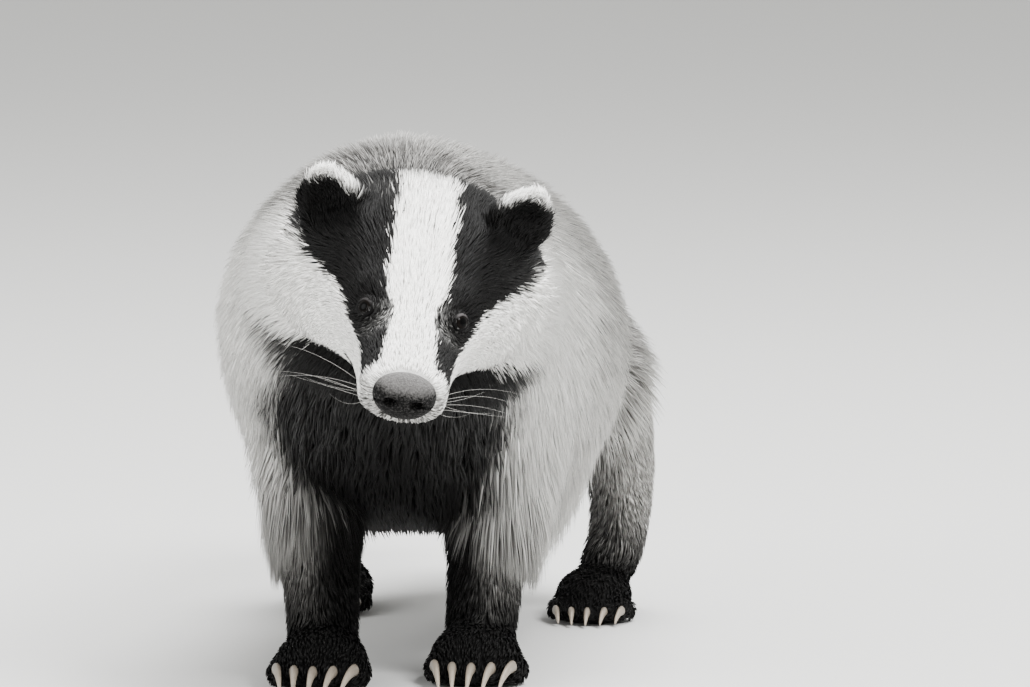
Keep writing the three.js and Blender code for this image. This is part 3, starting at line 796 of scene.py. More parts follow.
def make_skin(voxel, material):
    mesh = remeshed(*flesh(), voxel)
    write_points(mesh, spread_over(points_of(mesh), edges_of(mesh), 3, 0.5))
    refined(mesh)
    edges = edges_of(mesh)
    points = faced(spread_over(points_of(mesh), edges, 2, 0.5))
    points[:, 2] = np.maximum(points[:, 2], 0)
    write_points(mesh, points)
    normal = normals_of(mesh)
    fields = coat_fields(points, normal)
    for key in ("lie", "depth", "length"):
        fields[key] = spread_over(fields[key], edges, EVENED)
    fields["lie"] = on_skin(fields["lie"], normal)
    _, back, high = to_head(points).T
    lip = bump(high - level(MOUTH, back), 0, 1.2) * (back < MOUTH_END) * (fields["owner"] == 0)
    fields["bare"] = np.maximum(lip, fade(points[:, 2], 0.4, 2.5))
    for name, values in fields.items():
        keep(mesh, name, values)
    mesh.materials.clear()
    mesh.materials.append(material)
    mesh.polygons.foreach_set("use_smooth", np.full(len(mesh.polygons), True))
    return linked("skin", mesh)


# The coat's tufts.
# Each tuft has rings of points at these shares of its length, and widths there, and ends in a point.
RINGS, RING_WIDE = (0, 0.5), (0.8, 0.95)
TUFTS_PER_LOCK = 14
# How deep a tuft's root sits in the skin, which is also the least height of its points over the floor.
TUFT_ROOT = 0.6
# The size of a tuft's own patch on the flat layout.
TUFT_UV = 0.003
# How much single tufts differ where a marking fades, by the last column of each piece of the coat.
SPECKLE = {"face": 3.6, "black_coat": 1.8, "grey_coat": 2.2}
# How far the flank fringe hangs, and its middle and spread round the trunk in degrees.
FRINGE, FRINGE_AT, FRINGE_SPREAD = 42, -44, 24
# Single tufts differ in length, depth and width by these shares, and in their markings by this distance.
LENGTHS, DEPTHS, WIDTHS = (0.75, 1.2), (0.55, 1.05), (0.7, 1.3)
RAGGED = 0.8
# How closely tufts bend with the body where they run on past the tip of the tail or an ear.
FREE_END = 0.25
# Lips, lids and soles stay bare this far.
LIP_HALF, LIP_REACH, LID_BARE, SOLE = 0.7, 40, 0.14, 2.5

# Each piece of the coat: its tufts' number, width, clumping and straying, and how much its tufts speckle.
COAT_PIECES = {
    "coat_face": (19500, 0.85, 0.1, 0.14, "face"),
    "coat_crown": (11000, 1.1, 0.2, 0.14, "face"),
    "coat_cheeks": (15000, 1.1, 0.3, 0.14, "face"),
    "coat_ears": (6000, 0.9, 0.15, 0.22, "black_coat"),
    "coat_neck": (14000, 1.4, 0.35, 0.13, "grey_coat"),
    "coat_shoulders": (17000, 1.5, 0.4, 0.13, "grey_coat"),
    "coat_back": (14000, 1.7, 0.4, 0.13, "grey_coat"),
    "coat_rump": (14000, 1.7, 0.4, 0.13, "grey_coat"),
    "coat_belly": (9000, 2.1, 0.3, 0.2, "black_coat"),
    "coat_forelegs": (11000, 1.2, 0.2, 0.1, "black_coat"),
    "coat_hindlegs": (11000, 1.15, 0.2, 0.1, "black_coat"),
    "coat_tail": (5000, 1.6, 0.35, 0.13, "grey_coat"),
}


def coat_region(name, points, owner):
    """Which points of the skin a piece of the coat grows on."""
    owned = lambda start: np.isin(owner, [i for i, part in enumerate(OWNERS) if part.startswith(start)])
    head, trunk = owned("head"), owned("trunk")
    front = to_head(points)[:, 1] < 92
    turn = fold(HEAD_FORM.where(points)[1])
    cheeks = (turn <= 20) & (turn >= -62)
    under = np.sin(TRUNK_FORM.where(points)[1]) < -0.6
    along = points[:, 1]
    return {
        "coat_face": head & front,
        "coat_crown": head & ~front & ~cheeks,
        "coat_cheeks": head & ~front & cheeks,
        "coat_ears": owned("ear"),
        "coat_neck": trunk & ~under & (along < -180),
        "coat_shoulders": trunk & ~under & (along >= -180) & (along < -40),
        "coat_back": trunk & ~under & (along >= -40) & (along < 110),
        "coat_rump": trunk & ~under & (along >= 110),
        "coat_belly": trunk & under,
        "coat_forelegs": owned("fore"),
        "coat_hindlegs": owned("hind"),
        "coat_tail": owned("tail"),
    }[name]


def sag(points):
    """How far the tips of the long flank coat hang, most behind the elbow."""
    along, angle, _ = TRUNK_FORM.where(points)
    lengthwise = fade(along, 10, 190) * blend(along, -200, -120)
    return FRINGE * lengthwise * bump(fold(angle), FRINGE_AT, FRINGE_SPREAD) * blend(points[:, 2], 60, 110)


def unwrap(points, owner):
    """Where points lie on a flat layout of the skin's own forms: round each form and along it."""
    forms = [HEAD_FORM, TRUNK_FORM, TAIL_FORM, *LEG_FORMS.values()]
    present = sorted(set(owner.astype(int)))
    found = np.zeros((len(points), 2))
    for column, number in enumerate(present):
        rows = owner == number
        if number < len(forms):
            along, angle, _ = forms[number].where(points[rows])
            u = angle / (2 * np.pi) + 0.5
            v = (along - along.min()) / max(np.ptp(along), 1)
        else:
            _, local = ear_levels(points[rows])[OWNERS[number].split("_")[1]]
            u = np.where(local[:, 1] < 0, 0.25, 0.75) + 0.22 * np.clip(local[:, 0], -1, 1)
            v = 0.5 + 0.48 * np.clip(local[:, 2], -1, 1)
        found[rows, 0] = (column + 0.03 + 0.94 * u) / len(present)
        found[rows, 1] = 0.02 + 0.96 * v
    return found


def tree_of(points):
    tree = KDTree(len(points))
    for i, point in enumerate(points):
        tree.insert(point, i)
    tree.balance()
    return lambda places: np.fromiter((tree.find(place)[1] for place in places), int, len(places))


class Skin:
    """What the coat needs to know of the skin."""

    def __init__(self, mesh):
        self.faces = triangles_of(mesh)
        self.fields = {name: kept(mesh, name) for name in (*FIELDS, "owner")}
        self.fields |= {"points": points_of(mesh), "normal": normals_of(mesh)}
        self.nearest = tree_of(self.fields["points"])

    def at(self, name, corners, share):
        values = self.fields[name]
        return np.sum(values[corners] * (share if values.ndim == 1 else share[..., None]), 1)


def bare_patch(points):
    """Where no tuft grows: under the nose pad, on eyes and lids, along the lips and on the soles."""
    across, back, high = to_head(points).T
    nose = np.linalg.norm((to_head(points) - NOSE_MIDDLE) / (np.array(NOSE_HALF) + 0.4), axis=1) < 1
    lip = (np.abs(high - level(MOUTH, back)) < LIP_HALF) & (back < MOUTH_END) & (np.abs(across) < LIP_REACH)
    return nose | lip | (past_lids(points) < LID_BARE) | (points[:, 2] < SOLE)


def sampled(skin, inside, count, draw):
    """Roots spread evenly over the faces of the skin that lie in a region."""
    corners = skin.faces[inside[skin.faces].all(1)]
    a, b, c = (skin.fields["points"][corners[:, i]] for i in range(3))
    total = np.cumsum(np.linalg.norm(np.cross(b - a, c - a), axis=1))
    pick = np.searchsorted(total, (np.arange(count) + draw.random(count)) / count * total[-1])
    pick = np.minimum(pick, len(corners) - 1)
    r, s = np.sqrt(draw.random(count)), draw.random(count)
    return corners[pick], np.stack([1 - r, r * (1 - s), r * s], -1)


def paths(skin, root, normal, lie, length, depth, hang, bend):
    """The middle line of each tuft, out from its root and along the lie of the coat over the skin."""
    lines, normals = [root - normal * TUFT_ROOT], [normal]
    place, heading = root.copy(), lie.copy()
    bend = bend[:, None]
    steps = [*RINGS, 1.0]
    for low, high in zip(steps, steps[1:]):
        place = place + heading * (length * (high - low))[:, None]
        near = skin.nearest(place)
        up = skin.fields["normal"][near]
        place = place - up * dot(place - skin.fields["points"][near], up) * bend
        up = unit(mix(normals[-1], up, bend))
        heading = on_skin(mix(heading, skin.fields["lie"][near], 0.45 * bend), up)
        point = place + up * (depth * high**0.8)[:, None]
        point[:, 2] -= hang * high * high
        lines.append(point)
        normals.append(up)
    return np.stack(lines, 1), np.stack(normals, 1)


def clumped(root, lines, strength, draw):
    """Draws the ends of neighbouring tufts together into locks."""
    chosen = draw.choice(len(root), max(len(root) // TUFTS_PER_LOCK, 1), replace=False)
    mate = chosen[tree_of(root[chosen])(root)]
    pull = strength * draw.uniform(0.5, 1.6, len(root))
    share = np.linspace(0, 1, lines.shape[1]) ** 1.6
    return lines + (lines[mate] - lines) * (pull[:, None] * share)[..., None]


def bladed(lines, normals, width):
    """Closed three-sided blades along the lines, each tapering to a point."""
    ahead = np.diff(lines, axis=1)
    heading = unit(np.concatenate([ahead[:, :1], ahead[:, :-1] + ahead[:, 1:]], 1))
    across = unit(np.cross(heading, normals[:, :-1]))
    up = np.cross(across, heading)
    half = width[:, None, None] * np.array(RING_WIDE)[:, None] / 2
    body = lines[:, :-1]
    ring = np.stack([body - across * half, body + up * half * 0.7, body + across * half], 2)
    points = np.concatenate([ring.reshape(len(lines), -1, 3), lines[:, -1:]], 1)
    faces = [[0, 2, 1]]
    for first in range(0, 3 * len(RINGS), 3):
        for a, b in ((first + k, first + (k + 1) % 3) for k in range(3)):
            if first < 3 * (len(RINGS) - 1):
                faces += [[a, b, a + 3], [b, b + 3, a + 3]]
            else:
                faces.append([a, b, first + 3])
    tufts = np.arange(len(lines))[:, None, None] * points.shape[1]
    return points, (np.array(faces)[None] + tufts).reshape(-1, 3)


def speckled(share, chance, strength):
    """Shares of a marking for single tufts, which differ most where the marking fades."""
    return np.clip(share + strength * (chance - 0.5) * share * (1 - share), 0, 1)


def grow(name, skin, material, seed):
    """One piece of the coat."""
    count, width, clump, stray, slot = COAT_PIECES[name]
    draw = np.random.default_rng(seed)
    owner = skin.fields["owner"]
    corners, share = sampled(skin, coat_region(name, skin.fields["points"], owner), count, draw)
    free = ~bare_patch(skin.at("points", corners, share))
    corners, share = corners[free], share[free]
    keys = ("points", "lie", "length", "depth")
    root, lie, length, depth = (skin.at(key, corners, share) for key in keys)
    normal = unit(skin.at("normal", corners, share))
    count, of = len(root), owner[corners[:, 0]]
    lie = on_skin(unit(lie + draw.normal(0, stray, (count, 3))), normal)
    length = length * draw.uniform(*LENGTHS, count)
    depth = depth * draw.uniform(*DEPTHS, count)
    ends = np.isin(of, [OWNERS.index(part) for part in ("tail", "ear_left", "ear_right")])
    bend = np.where(ends, FREE_END, 1.0)
    lines, normals = paths(skin, root, normal, lie, length, depth, sag(root), bend)
    lines = clumped(root, lines, clump, draw)
    lines[..., 2] = np.maximum(lines[..., 2], TUFT_ROOT)
    points, faces = bladed(lines, normals, width * draw.uniform(*WIDTHS, count))
    each = points.shape[1]
    along = np.append(np.repeat(RINGS, 3), 1.0)
    edge = np.append(np.tile([-1.0, 0.0, 1.0], len(RINGS)), 0.0)
    marked = coat_fields(root + draw.normal(0, RAGGED, root.shape), normal)
    tone, chance = draw.random(count), draw.random(count)
    found = mesh_object(
        name, points.reshape(-1, 3), faces, material,
        dark=np.repeat(speckled(marked["dark"], 1 - chance, SPECKLE[slot]), each),
        pale=np.repeat(speckled(marked["pale"], chance, SPECKLE[slot]), each),
        tone=np.repeat(tone, each),
        tip=np.tile(along, count),
        strand=np.tile(edge, count) * 0.5 + np.repeat(tone * 40, each),
    )
    patch = np.stack([edge, along * 2 - 1 + 0.15 * (edge == 0)], -1) * TUFT_UV / 2
    layout = (unwrap(root, of)[:, None] + patch[None]).reshape(-1, 2)
    uv = found.data.uv_layers.new(name="OFBake")
    uv.data.foreach_set("uv", layout[faces.ravel()].astype(np.float32).ravel())
    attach(found, "root")


# Materials.
TONES = ("white", "black", "grey_root", "grey_band", "grey_tip")
UNDER_COAT = 0.55


def shade(colour, share):
    return tuple(share * channel for channel in colour)


class Nodes:
    """A node tree, and calls that add a node to it and give back its output."""

    def __init__(self, tree):
        self.tree = tree

    def feed(self, made, inputs):
        """Links inputs to outputs, or gives them a number or a colour."""
        for key, value in dict(inputs).items():
            if isinstance(value, bpy.types.NodeSocket):
                self.tree.links.new(value, made.inputs[key])
            else:
                made.inputs[key].default_value = (*value, 1) if hasattr(value, "__len__") else value
        return made

    def add(self, kind, output, inputs=(), **settings):
        made = self.tree.nodes.new(kind)
        for key, value in settings.items():
            setattr(made, key, value)
        return self.feed(made, inputs).outputs[output]

    def read(self, field):
        return self.add("ShaderNodeAttribute", "Fac", attribute_name=field)

    def mixed(self, share, a, b):
        return self.add("ShaderNodeMix", "Result", {"Factor": share, "A": a, "B": b}, data_type="RGBA")

    def reckoned(self, operation, *values, clamp=False):
        return self.add("ShaderNodeMath", 0, enumerate(values), operation=operation, use_clamp=clamp)

    def rise(self, value, low, high):
        inputs = {"Value": value, "From Min": low, "From Max": high}
        return self.add("ShaderNodeMapRange", "Result", inputs, interpolation_type="SMOOTHSTEP")

    def noise(self, **inputs):
        return self.add("ShaderNodeTexNoise", "Fac", inputs)

    def raised(self, height, strength, distance, invert=False):
        inputs = {"Height": height, "Strength": strength, "Distance": distance}
        return self.add("ShaderNodeBump", "Normal", inputs, invert=invert)

    def object_place(self):
        return self.add("ShaderNodeTexCoord", "Object")

    def grouped(self, name, inputs):
        """The outputs of one of the groups, which is built at its first use."""
        made = self.tree.nodes.new("ShaderNodeGroup")
        made.node_tree = bpy.data.node_groups.get(name) or group_tree(name)
        return self.feed(made, inputs).outputs


def marked_coat(nodes, give):
    """Colour of the coat from its markings: white, black, and grizzled grey that is pale at the root,
    dark below the tip and pale at the tip. Single hairs differ a little and are streaked lengthwise."""
    tip = nodes.read("tip")
    colour = nodes.mixed(nodes.rise(tip, 0.3, 0.55), give["Grey Root"], give["Grey Band"])
    colour = nodes.mixed(nodes.rise(tip, 0.68, 0.92), colour, give["Grey Tip"])
    colour = nodes.mixed(nodes.read("dark"), colour, give["Black"])
    colour = nodes.mixed(nodes.read("pale"), colour, give["White"])
    inputs = {"W": nodes.read("strand"), "Scale": 3.0}
    streak = nodes.add("ShaderNodeTexNoise", "Fac", inputs, noise_dimensions="1D")
    centred = nodes.reckoned("SUBTRACT", nodes.reckoned("ADD", nodes.read("tone"), streak), 1.0)
    light = nodes.reckoned("MULTIPLY_ADD", centred, give["Streaks"], 1.0)
    colour = nodes.add("ShaderNodeVectorMath", "Vector", {0: colour, "Scale": light}, operation="SCALE")
    return {"Color": colour, "Height": streak}


def cobbled_skin(nodes, give):
    """Bare skin in small cobbles, with another colour between them."""
    inputs = {"Vector": nodes.object_place(), "Scale": give["Scale"]}
    cells = nodes.add("ShaderNodeTexVoronoi", "Distance", inputs, feature="SMOOTH_F1")
    normal = nodes.raised(cells, give["Strength"], give["Distance"], invert=True)
    return {"Color": nodes.mixed(cells, give["Color"], give["Between"]), "Normal": normal}


def mottled(nodes, give):
    """A plain surface that wanders between two colours."""
    grain = nodes.noise(Scale=give["Scale"], Detail=give["Detail"])
    return {"Color": nodes.mixed(grain, give["Color"], give["Other Color"])}


def label(tone):
    return tone.replace("_", " ").title()


# Each group's filling, and its inputs and outputs with their kinds.
GROUPS = {
    "Marked coat": (
        marked_coat,
        {**{label(tone): "Color" for tone in TONES}, "Streaks": "Float"},
        {"Color": "Color", "Height": "Float"},
    ),
    "Cobbled skin": (
        cobbled_skin,
        {"Color": "Color", "Between": "Color", "Scale": "Float", "Strength": "Float", "Distance": "Float"},
        {"Color": "Color", "Normal": "Vector"},
    ),
    "Mottled": (
        mottled,
        {"Color": "Color", "Other Color": "Color", "Scale": "Float", "Detail": "Float"},
        {"Color": "Color"},
    ),
}


def group_tree(name):
    fill, inputs, outputs = GROUPS[name]
    tree = bpy.data.node_groups.new(name, "ShaderNodeTree")
    for way, sockets in (("INPUT", inputs), ("OUTPUT", outputs)):
        for title, kind in sockets.items():
            tree.interface.new_socket(name=title, in_out=way, socket_type=f"NodeSocket{kind}")
    nodes = Nodes(tree)
    made = fill(nodes, tree.nodes.new("NodeGroupInput").outputs)
    nodes.feed(tree.nodes.new("NodeGroupOutput"), made)
    return tree


class Look(Nodes):
    """A new material and its nodes."""

    def __init__(self, name):
        self.material = bpy.data.materials.new(name)
        self.material.use_nodes = True
        super().__init__(self.material.node_tree)

    def done(self, colour, roughness, specular=0.5, **inputs):
        inputs |= {"Base Color": colour, "Roughness": roughness, "Specular IOR Level": specular}
        self.feed(self.tree.nodes["Principled BSDF"], inputs)
        return self.material


def coat_material(name, colours, streaks, roughness):
    look = Look(name)
    inputs = {label(tone): getattr(colours, tone) for tone in TONES}
    marked = look.grouped("Marked coat", inputs | {"Streaks": streaks})
    normal = look.raised(marked["Height"], strength=0.25, distance=0.0004)
    return look.done(marked["Color"], roughness, specular=0.12, Normal=normal)


def skin_material(colours):
    """Marked as the coat over it, but darker and without the bands of single hairs."""
    look = Look("skin")
    plain = {tone: "grey_band" if tone.startswith("grey") else tone for tone in TONES}
    inputs = {label(tone): shade(getattr(colours, used), UNDER_COAT) for tone, used in plain.items()}
    marked = look.grouped("Marked coat", inputs)
    colour = look.mixed(look.read("bare"), marked["Color"], colours.lid)
    normal = look.raised(look.noise(Scale=900.0, Detail=4.0), strength=0.5, distance=0.0006)
    return look.done(colour, roughness=0.8, specular=0.1, Normal=normal)


def lid_material(colour):
    """Bare black skin, with a painted highlight along the edge of the upper lid."""
    look = Look("lids")
    inputs = {"Color": colour, "Between": shade(colour, 0.45), "Scale": 1400.0}
    skin = look.grouped("Cobbled skin", inputs | {"Strength": 0.6, "Distance": 0.0004})
    # Painted highlight: a pale arc along the upper lid, where light would catch it.
    lid_with_painted_highlight = look.mixed(look.read("upper"), skin["Color"], shade(colour, 24))
    return look.done(lid_with_painted_highlight, roughness=0.5, specular=0.05, Normal=skin["Normal"])


def nose_material(colour):
    """A grey pad whose lower half, round and under the nostrils, is painted nearly black: painted shade, as
    if light from above left it dark.
    """
    look = Look("nose pad")
    inputs = {"Color": colour, "Between": shade(colour, 0.4), "Scale": 1300.0}
    pad_skin = look.grouped("Cobbled skin", inputs | {"Strength": 0.8, "Distance": 0.0005})
    # Specks break the upper edge of the painted shade.
    specks = look.noise(Vector=look.object_place(), Scale=900.0, Detail=4.0)
    edge = look.reckoned("MULTIPLY_ADD", specks, 1.6, -0.8)
    moist = look.reckoned("ADD", look.read("moist"), edge, clamp=True)
    colour = look.mixed(moist, pad_skin["Color"], shade(colour, 0.02))
    return look.done(colour, roughness=0.5, specular=0.04, Normal=pad_skin["Normal"])


def eye_material(iris):
    """Black at the pupil and round the iris; places run from the pupil's middle outwards."""
    look = Look("eye")
    ramp = look.add("ShaderNodeValToRGB", "Color", {"Fac": look.read("iris")})
    stops = ramp.node.color_ramp.elements
    for place, colour in ((0.3, (0.001,) * 3), (0.36, iris), (0.72, iris), (0.8, (0.002,) * 3)):
        stops.new(place).color = (*colour, 1)
    stops.remove(stops[0])
    stops.remove(stops[-1])
    return look.done(ramp, roughness=0.08, specular=0.04)


def horn_material(colour):
    """Dark at the claw's root, with a grain, and pale at its tip."""
    look = Look("claw horn")
    grain = look.noise(Vector=look.object_place(), Scale=260.0, Detail=3.0)
    share = look.reckoned("MULTIPLY", look.reckoned("MULTIPLY", look.read("tip"), grain), 1.8, clamp=True)
    return look.done(look.mixed(share, shade(colour, 0.45), colour), roughness=0.38)


def mottled_material(name, colour, other, scale, detail, roughness):
    look = Look(name)
    inputs = {"Color": colour, "Other Color": other, "Scale": scale, "Detail": detail}
    return look.done(look.grouped("Mottled", inputs)["Color"], roughness)


# Settings that a user would change.
def colour_setting(name, description, default):
    return FloatVectorProperty(
        name=name, description=description, default=default, subtype="COLOR", min=0, max=1,
    )


class BadgerColours(bpy.types.PropertyGroup):
    """Colours of the badger."""

    white: colour_setting("White", "White of the stripes and cheeks", (0.93, 0.92, 0.89))
    black: colour_setting("Black", "Black of the face bands, throat and legs", (0.003, 0.0028, 0.0027))
    grey_root: colour_setting("Grey root", "Root of the grizzled guard hair", (0.72, 0.705, 0.67))
    grey_band: colour_setting("Grey band", "Dark band below the tip of the guard hair", (0.26, 0.25, 0.237))
    grey_tip: colour_setting("Grey tip", "Tip of the guard hair", (0.86, 0.845, 0.81))
    # The pad's grey; its lower half is darkened by painted shade in the nose material.
    nose: colour_setting("Nose", "Dry upper half of the nose pad", (0.15, 0.145, 0.142))
    lid: colour_setting("Lids", "Bare skin of lids and lips", (0.003, 0.0028, 0.0028))
    iris: colour_setting("Iris", "Iris of the eyes", (0.003, 0.0023, 0.0019))
    claw: colour_setting("Claws", "Horn of the claws", (0.34, 0.29, 0.23))
    whisker: colour_setting("Whiskers", "Whiskers", (0.45, 0.44, 0.42))
    floor: colour_setting("Floor", "Studio floor and surroundings", (0.52, 0.52, 0.51))


class BadgerSizes(bpy.types.PropertyGroup):
    """Sizes of the skin and coat."""

    voxel: FloatProperty(
        name="Skin grain", description="Size of the skin's faces on the body", default=0.003, min=0.0015,
        max=0.006, subtype="DISTANCE", unit="LENGTH", precision=4,
    )
    seed: IntProperty(name="Seed", description="Start of the coat's random draws", default=4, min=0)


class BadgerStudio(bpy.types.PropertyGroup):
    """The studio round the badger."""

    key: FloatProperty(
        name="Key light", description="Power of the large light above the camera's right", default=300, min=0,
        subtype="POWER", unit="POWER",
    )
    fill: FloatProperty(
        name="Fill light", description="Power of the light from the left", default=80, min=0,
        subtype="POWER", unit="POWER",
    )
    ambient: FloatProperty(
        name="Ambient", description="Strength of the even light all round", default=2.2, min=0,
    )
    lens: FloatProperty(
        name="Lens", description="Focal length of the camera", default=336.07, min=10,
        subtype="DISTANCE_CAMERA",
    )


# Pieces.
class BADGER_OT_skin(bpy.types.Operator):
    """Draw one skin over the flesh of the whole body, with the lie and markings of the coat"""

    bl_idname = "badger.skin"
    bl_label = "Skin"

    def execute(self, context):
        skin = make_skin(context.scene.badger_sizes.voxel, skin_material(context.scene.badger_colours))
        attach(skin, "root")
        limbs = [
            f"{kind}{part}_{word}" for kind in ("fore", "hind") for part in ("leg", "paw") for word in SIDES
        ]
        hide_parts("head", "jaw", "neck", "torso", "tail", "ear_left", "ear_right", *limbs)
        return {"FINISHED"}


SEEDS_APART = 100


def grow_all(context, names, material):
    skin = Skin(bpy.data.objects["skin"].data)
    for name in names:
        seed = context.scene.badger_sizes.seed * SEEDS_APART + list(COAT_PIECES).index(name)
        grow(name, skin, material, seed)


class BADGER_OT_coat_head(bpy.types.Operator):
    """Grow the short coat of the face, crown, cheeks and ears"""

    bl_idname = "badger.coat_head"
    bl_label = "Coat of the head"

    def execute(self, context):
        material = coat_material("face coat", context.scene.badger_colours, streaks=0.25, roughness=0.6)
        grow_all(context, ("coat_face", "coat_crown", "coat_cheeks", "coat_ears"), material)
        return {"FINISHED"}


class BADGER_OT_coat_body(bpy.types.Operator):
    """Grow the long grizzled coat of the neck, back, flanks, belly and tail"""

    bl_idname = "badger.coat_body"
    bl_label = "Coat of the body"

    def execute(self, context):
        material = coat_material("guard hair", context.scene.badger_colours, streaks=0.45, roughness=0.55)
        names = ("coat_neck", "coat_shoulders", "coat_back", "coat_rump", "coat_belly", "coat_tail")
        grow_all(context, names, material)
        return {"FINISHED"}


class BADGER_OT_coat_legs(bpy.types.Operator):
    """Grow the short black coat of the legs and paws"""

    bl_idname = "badger.coat_legs"
    bl_label = "Coat of the legs"

    def execute(self, context):
        material = coat_material("leg coat", context.scene.badger_colours, streaks=0.35, roughness=0.55)
        grow_all(context, ("coat_forelegs", "coat_hindlegs"), material)
        return {"FINISHED"}


# How far the clear bulge over the iris stands out of the eye.
CORNEA = 0.55
# The lids' rim across its thickness: radians outwards from the edge, and height over the eye.
LID_RIM = np.array([
    [0.0, -0.5], [-0.01, 0.1], [0.01, 0.45], [0.06, 0.75], [0.14, 0.95], [0.24, 0.95], [0.32, 0.6],
    [0.34, -0.3], [0.2, -1.0],
])


def eyeball(side):
    """An eye with a clear bulge over the iris, and how far each point lies from the pupil's middle."""
    grid, poles = globe(32)
    polar = np.arccos(np.clip(grid[..., 2], -1, 1))
    bulge = CORNEA / EYE_RADIUS
    swell = 1 + bulge * fade(polar, 0.45, 0.85)
    place = lambda points, swell: (points * swell * EYE_RADIUS) @ eye_axes(side).T + eye_middle(side)
    points, faces = closed(place(grid, swell[..., None]), *place(poles, np.array([[1 + bulge], [1.0]])))
    return points, faces[:, ::-1], np.concatenate([[0], np.minimum(polar.ravel(), 1), [1]])


def lid_ring(side):
    """The rims of both lids as one closed fold round the eye, and where the painted highlight lies along the
    upper edge.
    """
    turn = turns(56)[:, None]
    outwards, height = LID_RIM.T
    local = on_ball(lid_edge(turn) + outwards, turn) * (EYE_RADIUS + height)[:, None]
    points = local @ eye_axes(side).T + eye_middle(side)
    # Painted highlight on the upper lid's edge, stronger on the left eye, which faces the key light.
    upper = (0.7 + 0.3 * side) * blend(np.sin(turn + 0.35 * side), 0.3, 0.95) * bump(outwards, 0.12, 0.1)
    return points.reshape(-1, 3), banded(*points.shape[:2], wrap=True), upper.ravel()


class BADGER_OT_eyes(bpy.types.Operator):
    """Make the eyes and the lids round them"""

    bl_idname = "badger.eyes"
    bl_label = "Eyes and lids"

    def execute(self, context):
        colours = context.scene.badger_colours
        glass = eye_material(colours.iris)
        rim = lid_material(colours.lid)
        for word, side in SIDES.items():
            points, faces, iris = eyeball(side)
            eye = mesh_object(f"eyeball_{word}", points, faces, glass, iris=iris)
            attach(eye, "root")
            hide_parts(f"eye_{word}")
            points, faces, upper = lid_ring(side)
            lid = mesh_object(f"lids_{word}", points, faces, rim, upper=upper)
            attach(lid, "root")
        return {"FINISHED"}


# The nostrils' places and half sizes to the side and up, and the slits that run out from them.
NOSTRIL_AT, NOSTRIL_HALF, NOSTRIL_DEEP = (6.9, -1.2), (3.5, 2.5), 5.5
SLIT_LENGTH, SLIT_DROP, SLIT_DEEP = 7.5, 2.4, 2.4


def nose_points():
    """The nose pad: a broad, flat-topped ball with two nostrils, their side slits and a middle groove."""
    # The poles point to the front and back, so that rings are finest round the front.
    polar = np.linspace(0.02, np.pi - 0.02, 90)[:, None]
    x, z, front = np.moveaxis(on_ball(polar, turns(130)), -1, 0)
    across, high = x * NOSE_HALF[0], z * NOSE_HALF[2]
    deep = 0
    for side in SIDES.values():
        out, rise = side * across - NOSTRIL_AT[0], high - NOSTRIL_AT[1]
        hole = np.hypot(out / NOSTRIL_HALF[0], rise / NOSTRIL_HALF[1])
        along = np.clip(out / SLIT_LENGTH, 0, 1)
        past = np.maximum(out - SLIT_LENGTH - 0.1, 0)
        slit = np.hypot(past, rise + SLIT_DROP * along) / (1.5 - 0.6 * along)
        slit = SLIT_DEEP * fade(slit, 0.4, 1.3) * blend(hole, 0.5, 1.2) * (out > 0)
        deep = deep + NOSTRIL_DEEP * fade(hole, 0.55, 1.25) + slit
    groove = 0.9 * bump(across, 0, 0.55) * fade(high, -2, 3)
    swollen = 0.8 * bump(np.abs(across), 7.5, 5) * bump(high, 4, 4)
    back = blend(front, 0.05, 0.4) * (deep + groove - swollen) - front * NOSE_HALF[1]
    flat_top = 1 - 0.08 * blend(z, 0.3, 1)
    return from_head(np.stack([across, back, high * flat_top], -1) + NOSE_MIDDLE)


class BADGER_OT_nose(bpy.types.Operator):
    """Make the nose pad with its nostrils"""

    bl_idname = "badger.nose"
    bl_label = "Nose"

    def execute(self, context):
        points, faces = closed(nose_points())
        # Painted shade: the pad darkens from its middle downwards, as if light from above left its lower half
        # in shade.
        moist = fade(to_head(points)[:, 2] - NOSE_MIDDLE[2], 1.5, 10)
        material = nose_material(context.scene.badger_colours.nose)
        nose = mesh_object("nose_pad", points, faces, material, moist=moist)
        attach(nose, "root")
        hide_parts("nose")
        return {"FINISHED"}


CLAW_RINGS, CLAW_AROUND = 16, 14


def claw_points(kind, x, y, turn):
    """One claw, curved forwards and down from its root to a point, and how far along it points are."""
    size = kind["claw"]
    t = np.arange(CLAW_RINGS + 1)[:, None] / CLAW_RINGS
    bend = size["bend"] * t
    along = -size["length"] * np.sin(bend) / size["bend"]
    drop = -size["length"] * (1 - np.cos(bend)) / size["bend"]
    thick = size["root"] * (1 - 0.75 * t) * (1 - 0.25 * blend(t, 0.8, 1))
    angle = turns(CLAW_AROUND)
    high = 1.25 * thick * np.sin(angle) * np.where(np.sin(angle) > 0, 1, 0.8)
    across = 0.85 * thick * np.cos(angle)
    local = np.stack([across, along - high * np.sin(bend), drop + high * np.cos(bend)], -1)
    at = (x, y - kind["toes"]["half"][1] + CLAW_SUNK, size["high"])
    place = lambda points: points @ around_z(turn).T + at
    tip = np.array([0, along[-1, 0], drop[-1, 0]])
    points, faces = closed(place(local[:-1]), place(np.zeros(3)), place(tip))
    return points, faces, np.concatenate([[0], np.repeat(t[:-1], CLAW_AROUND), [1]])


class BADGER_OT_claws(bpy.types.Operator):
    """Make the five claws of each paw"""

    bl_idname = "badger.claws"
    bl_label = "Claws"

    def execute(self, context):
        horn = horn_material(context.scene.badger_colours.claw)
        for paw, leg in LEGS.items():
            points, faces, tips = zip(*(claw_points(leg[0], *place) for place in toe_places(*leg)))
            claws = mesh_object(f"claws_{paw}", *joined(zip(points, faces)), horn, tip=np.concatenate(tips))
            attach(claws, "root")
            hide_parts(*(f"claw_{paw}_{i + 1}" for i in range(TOES)))
        return {"FINISHED"}


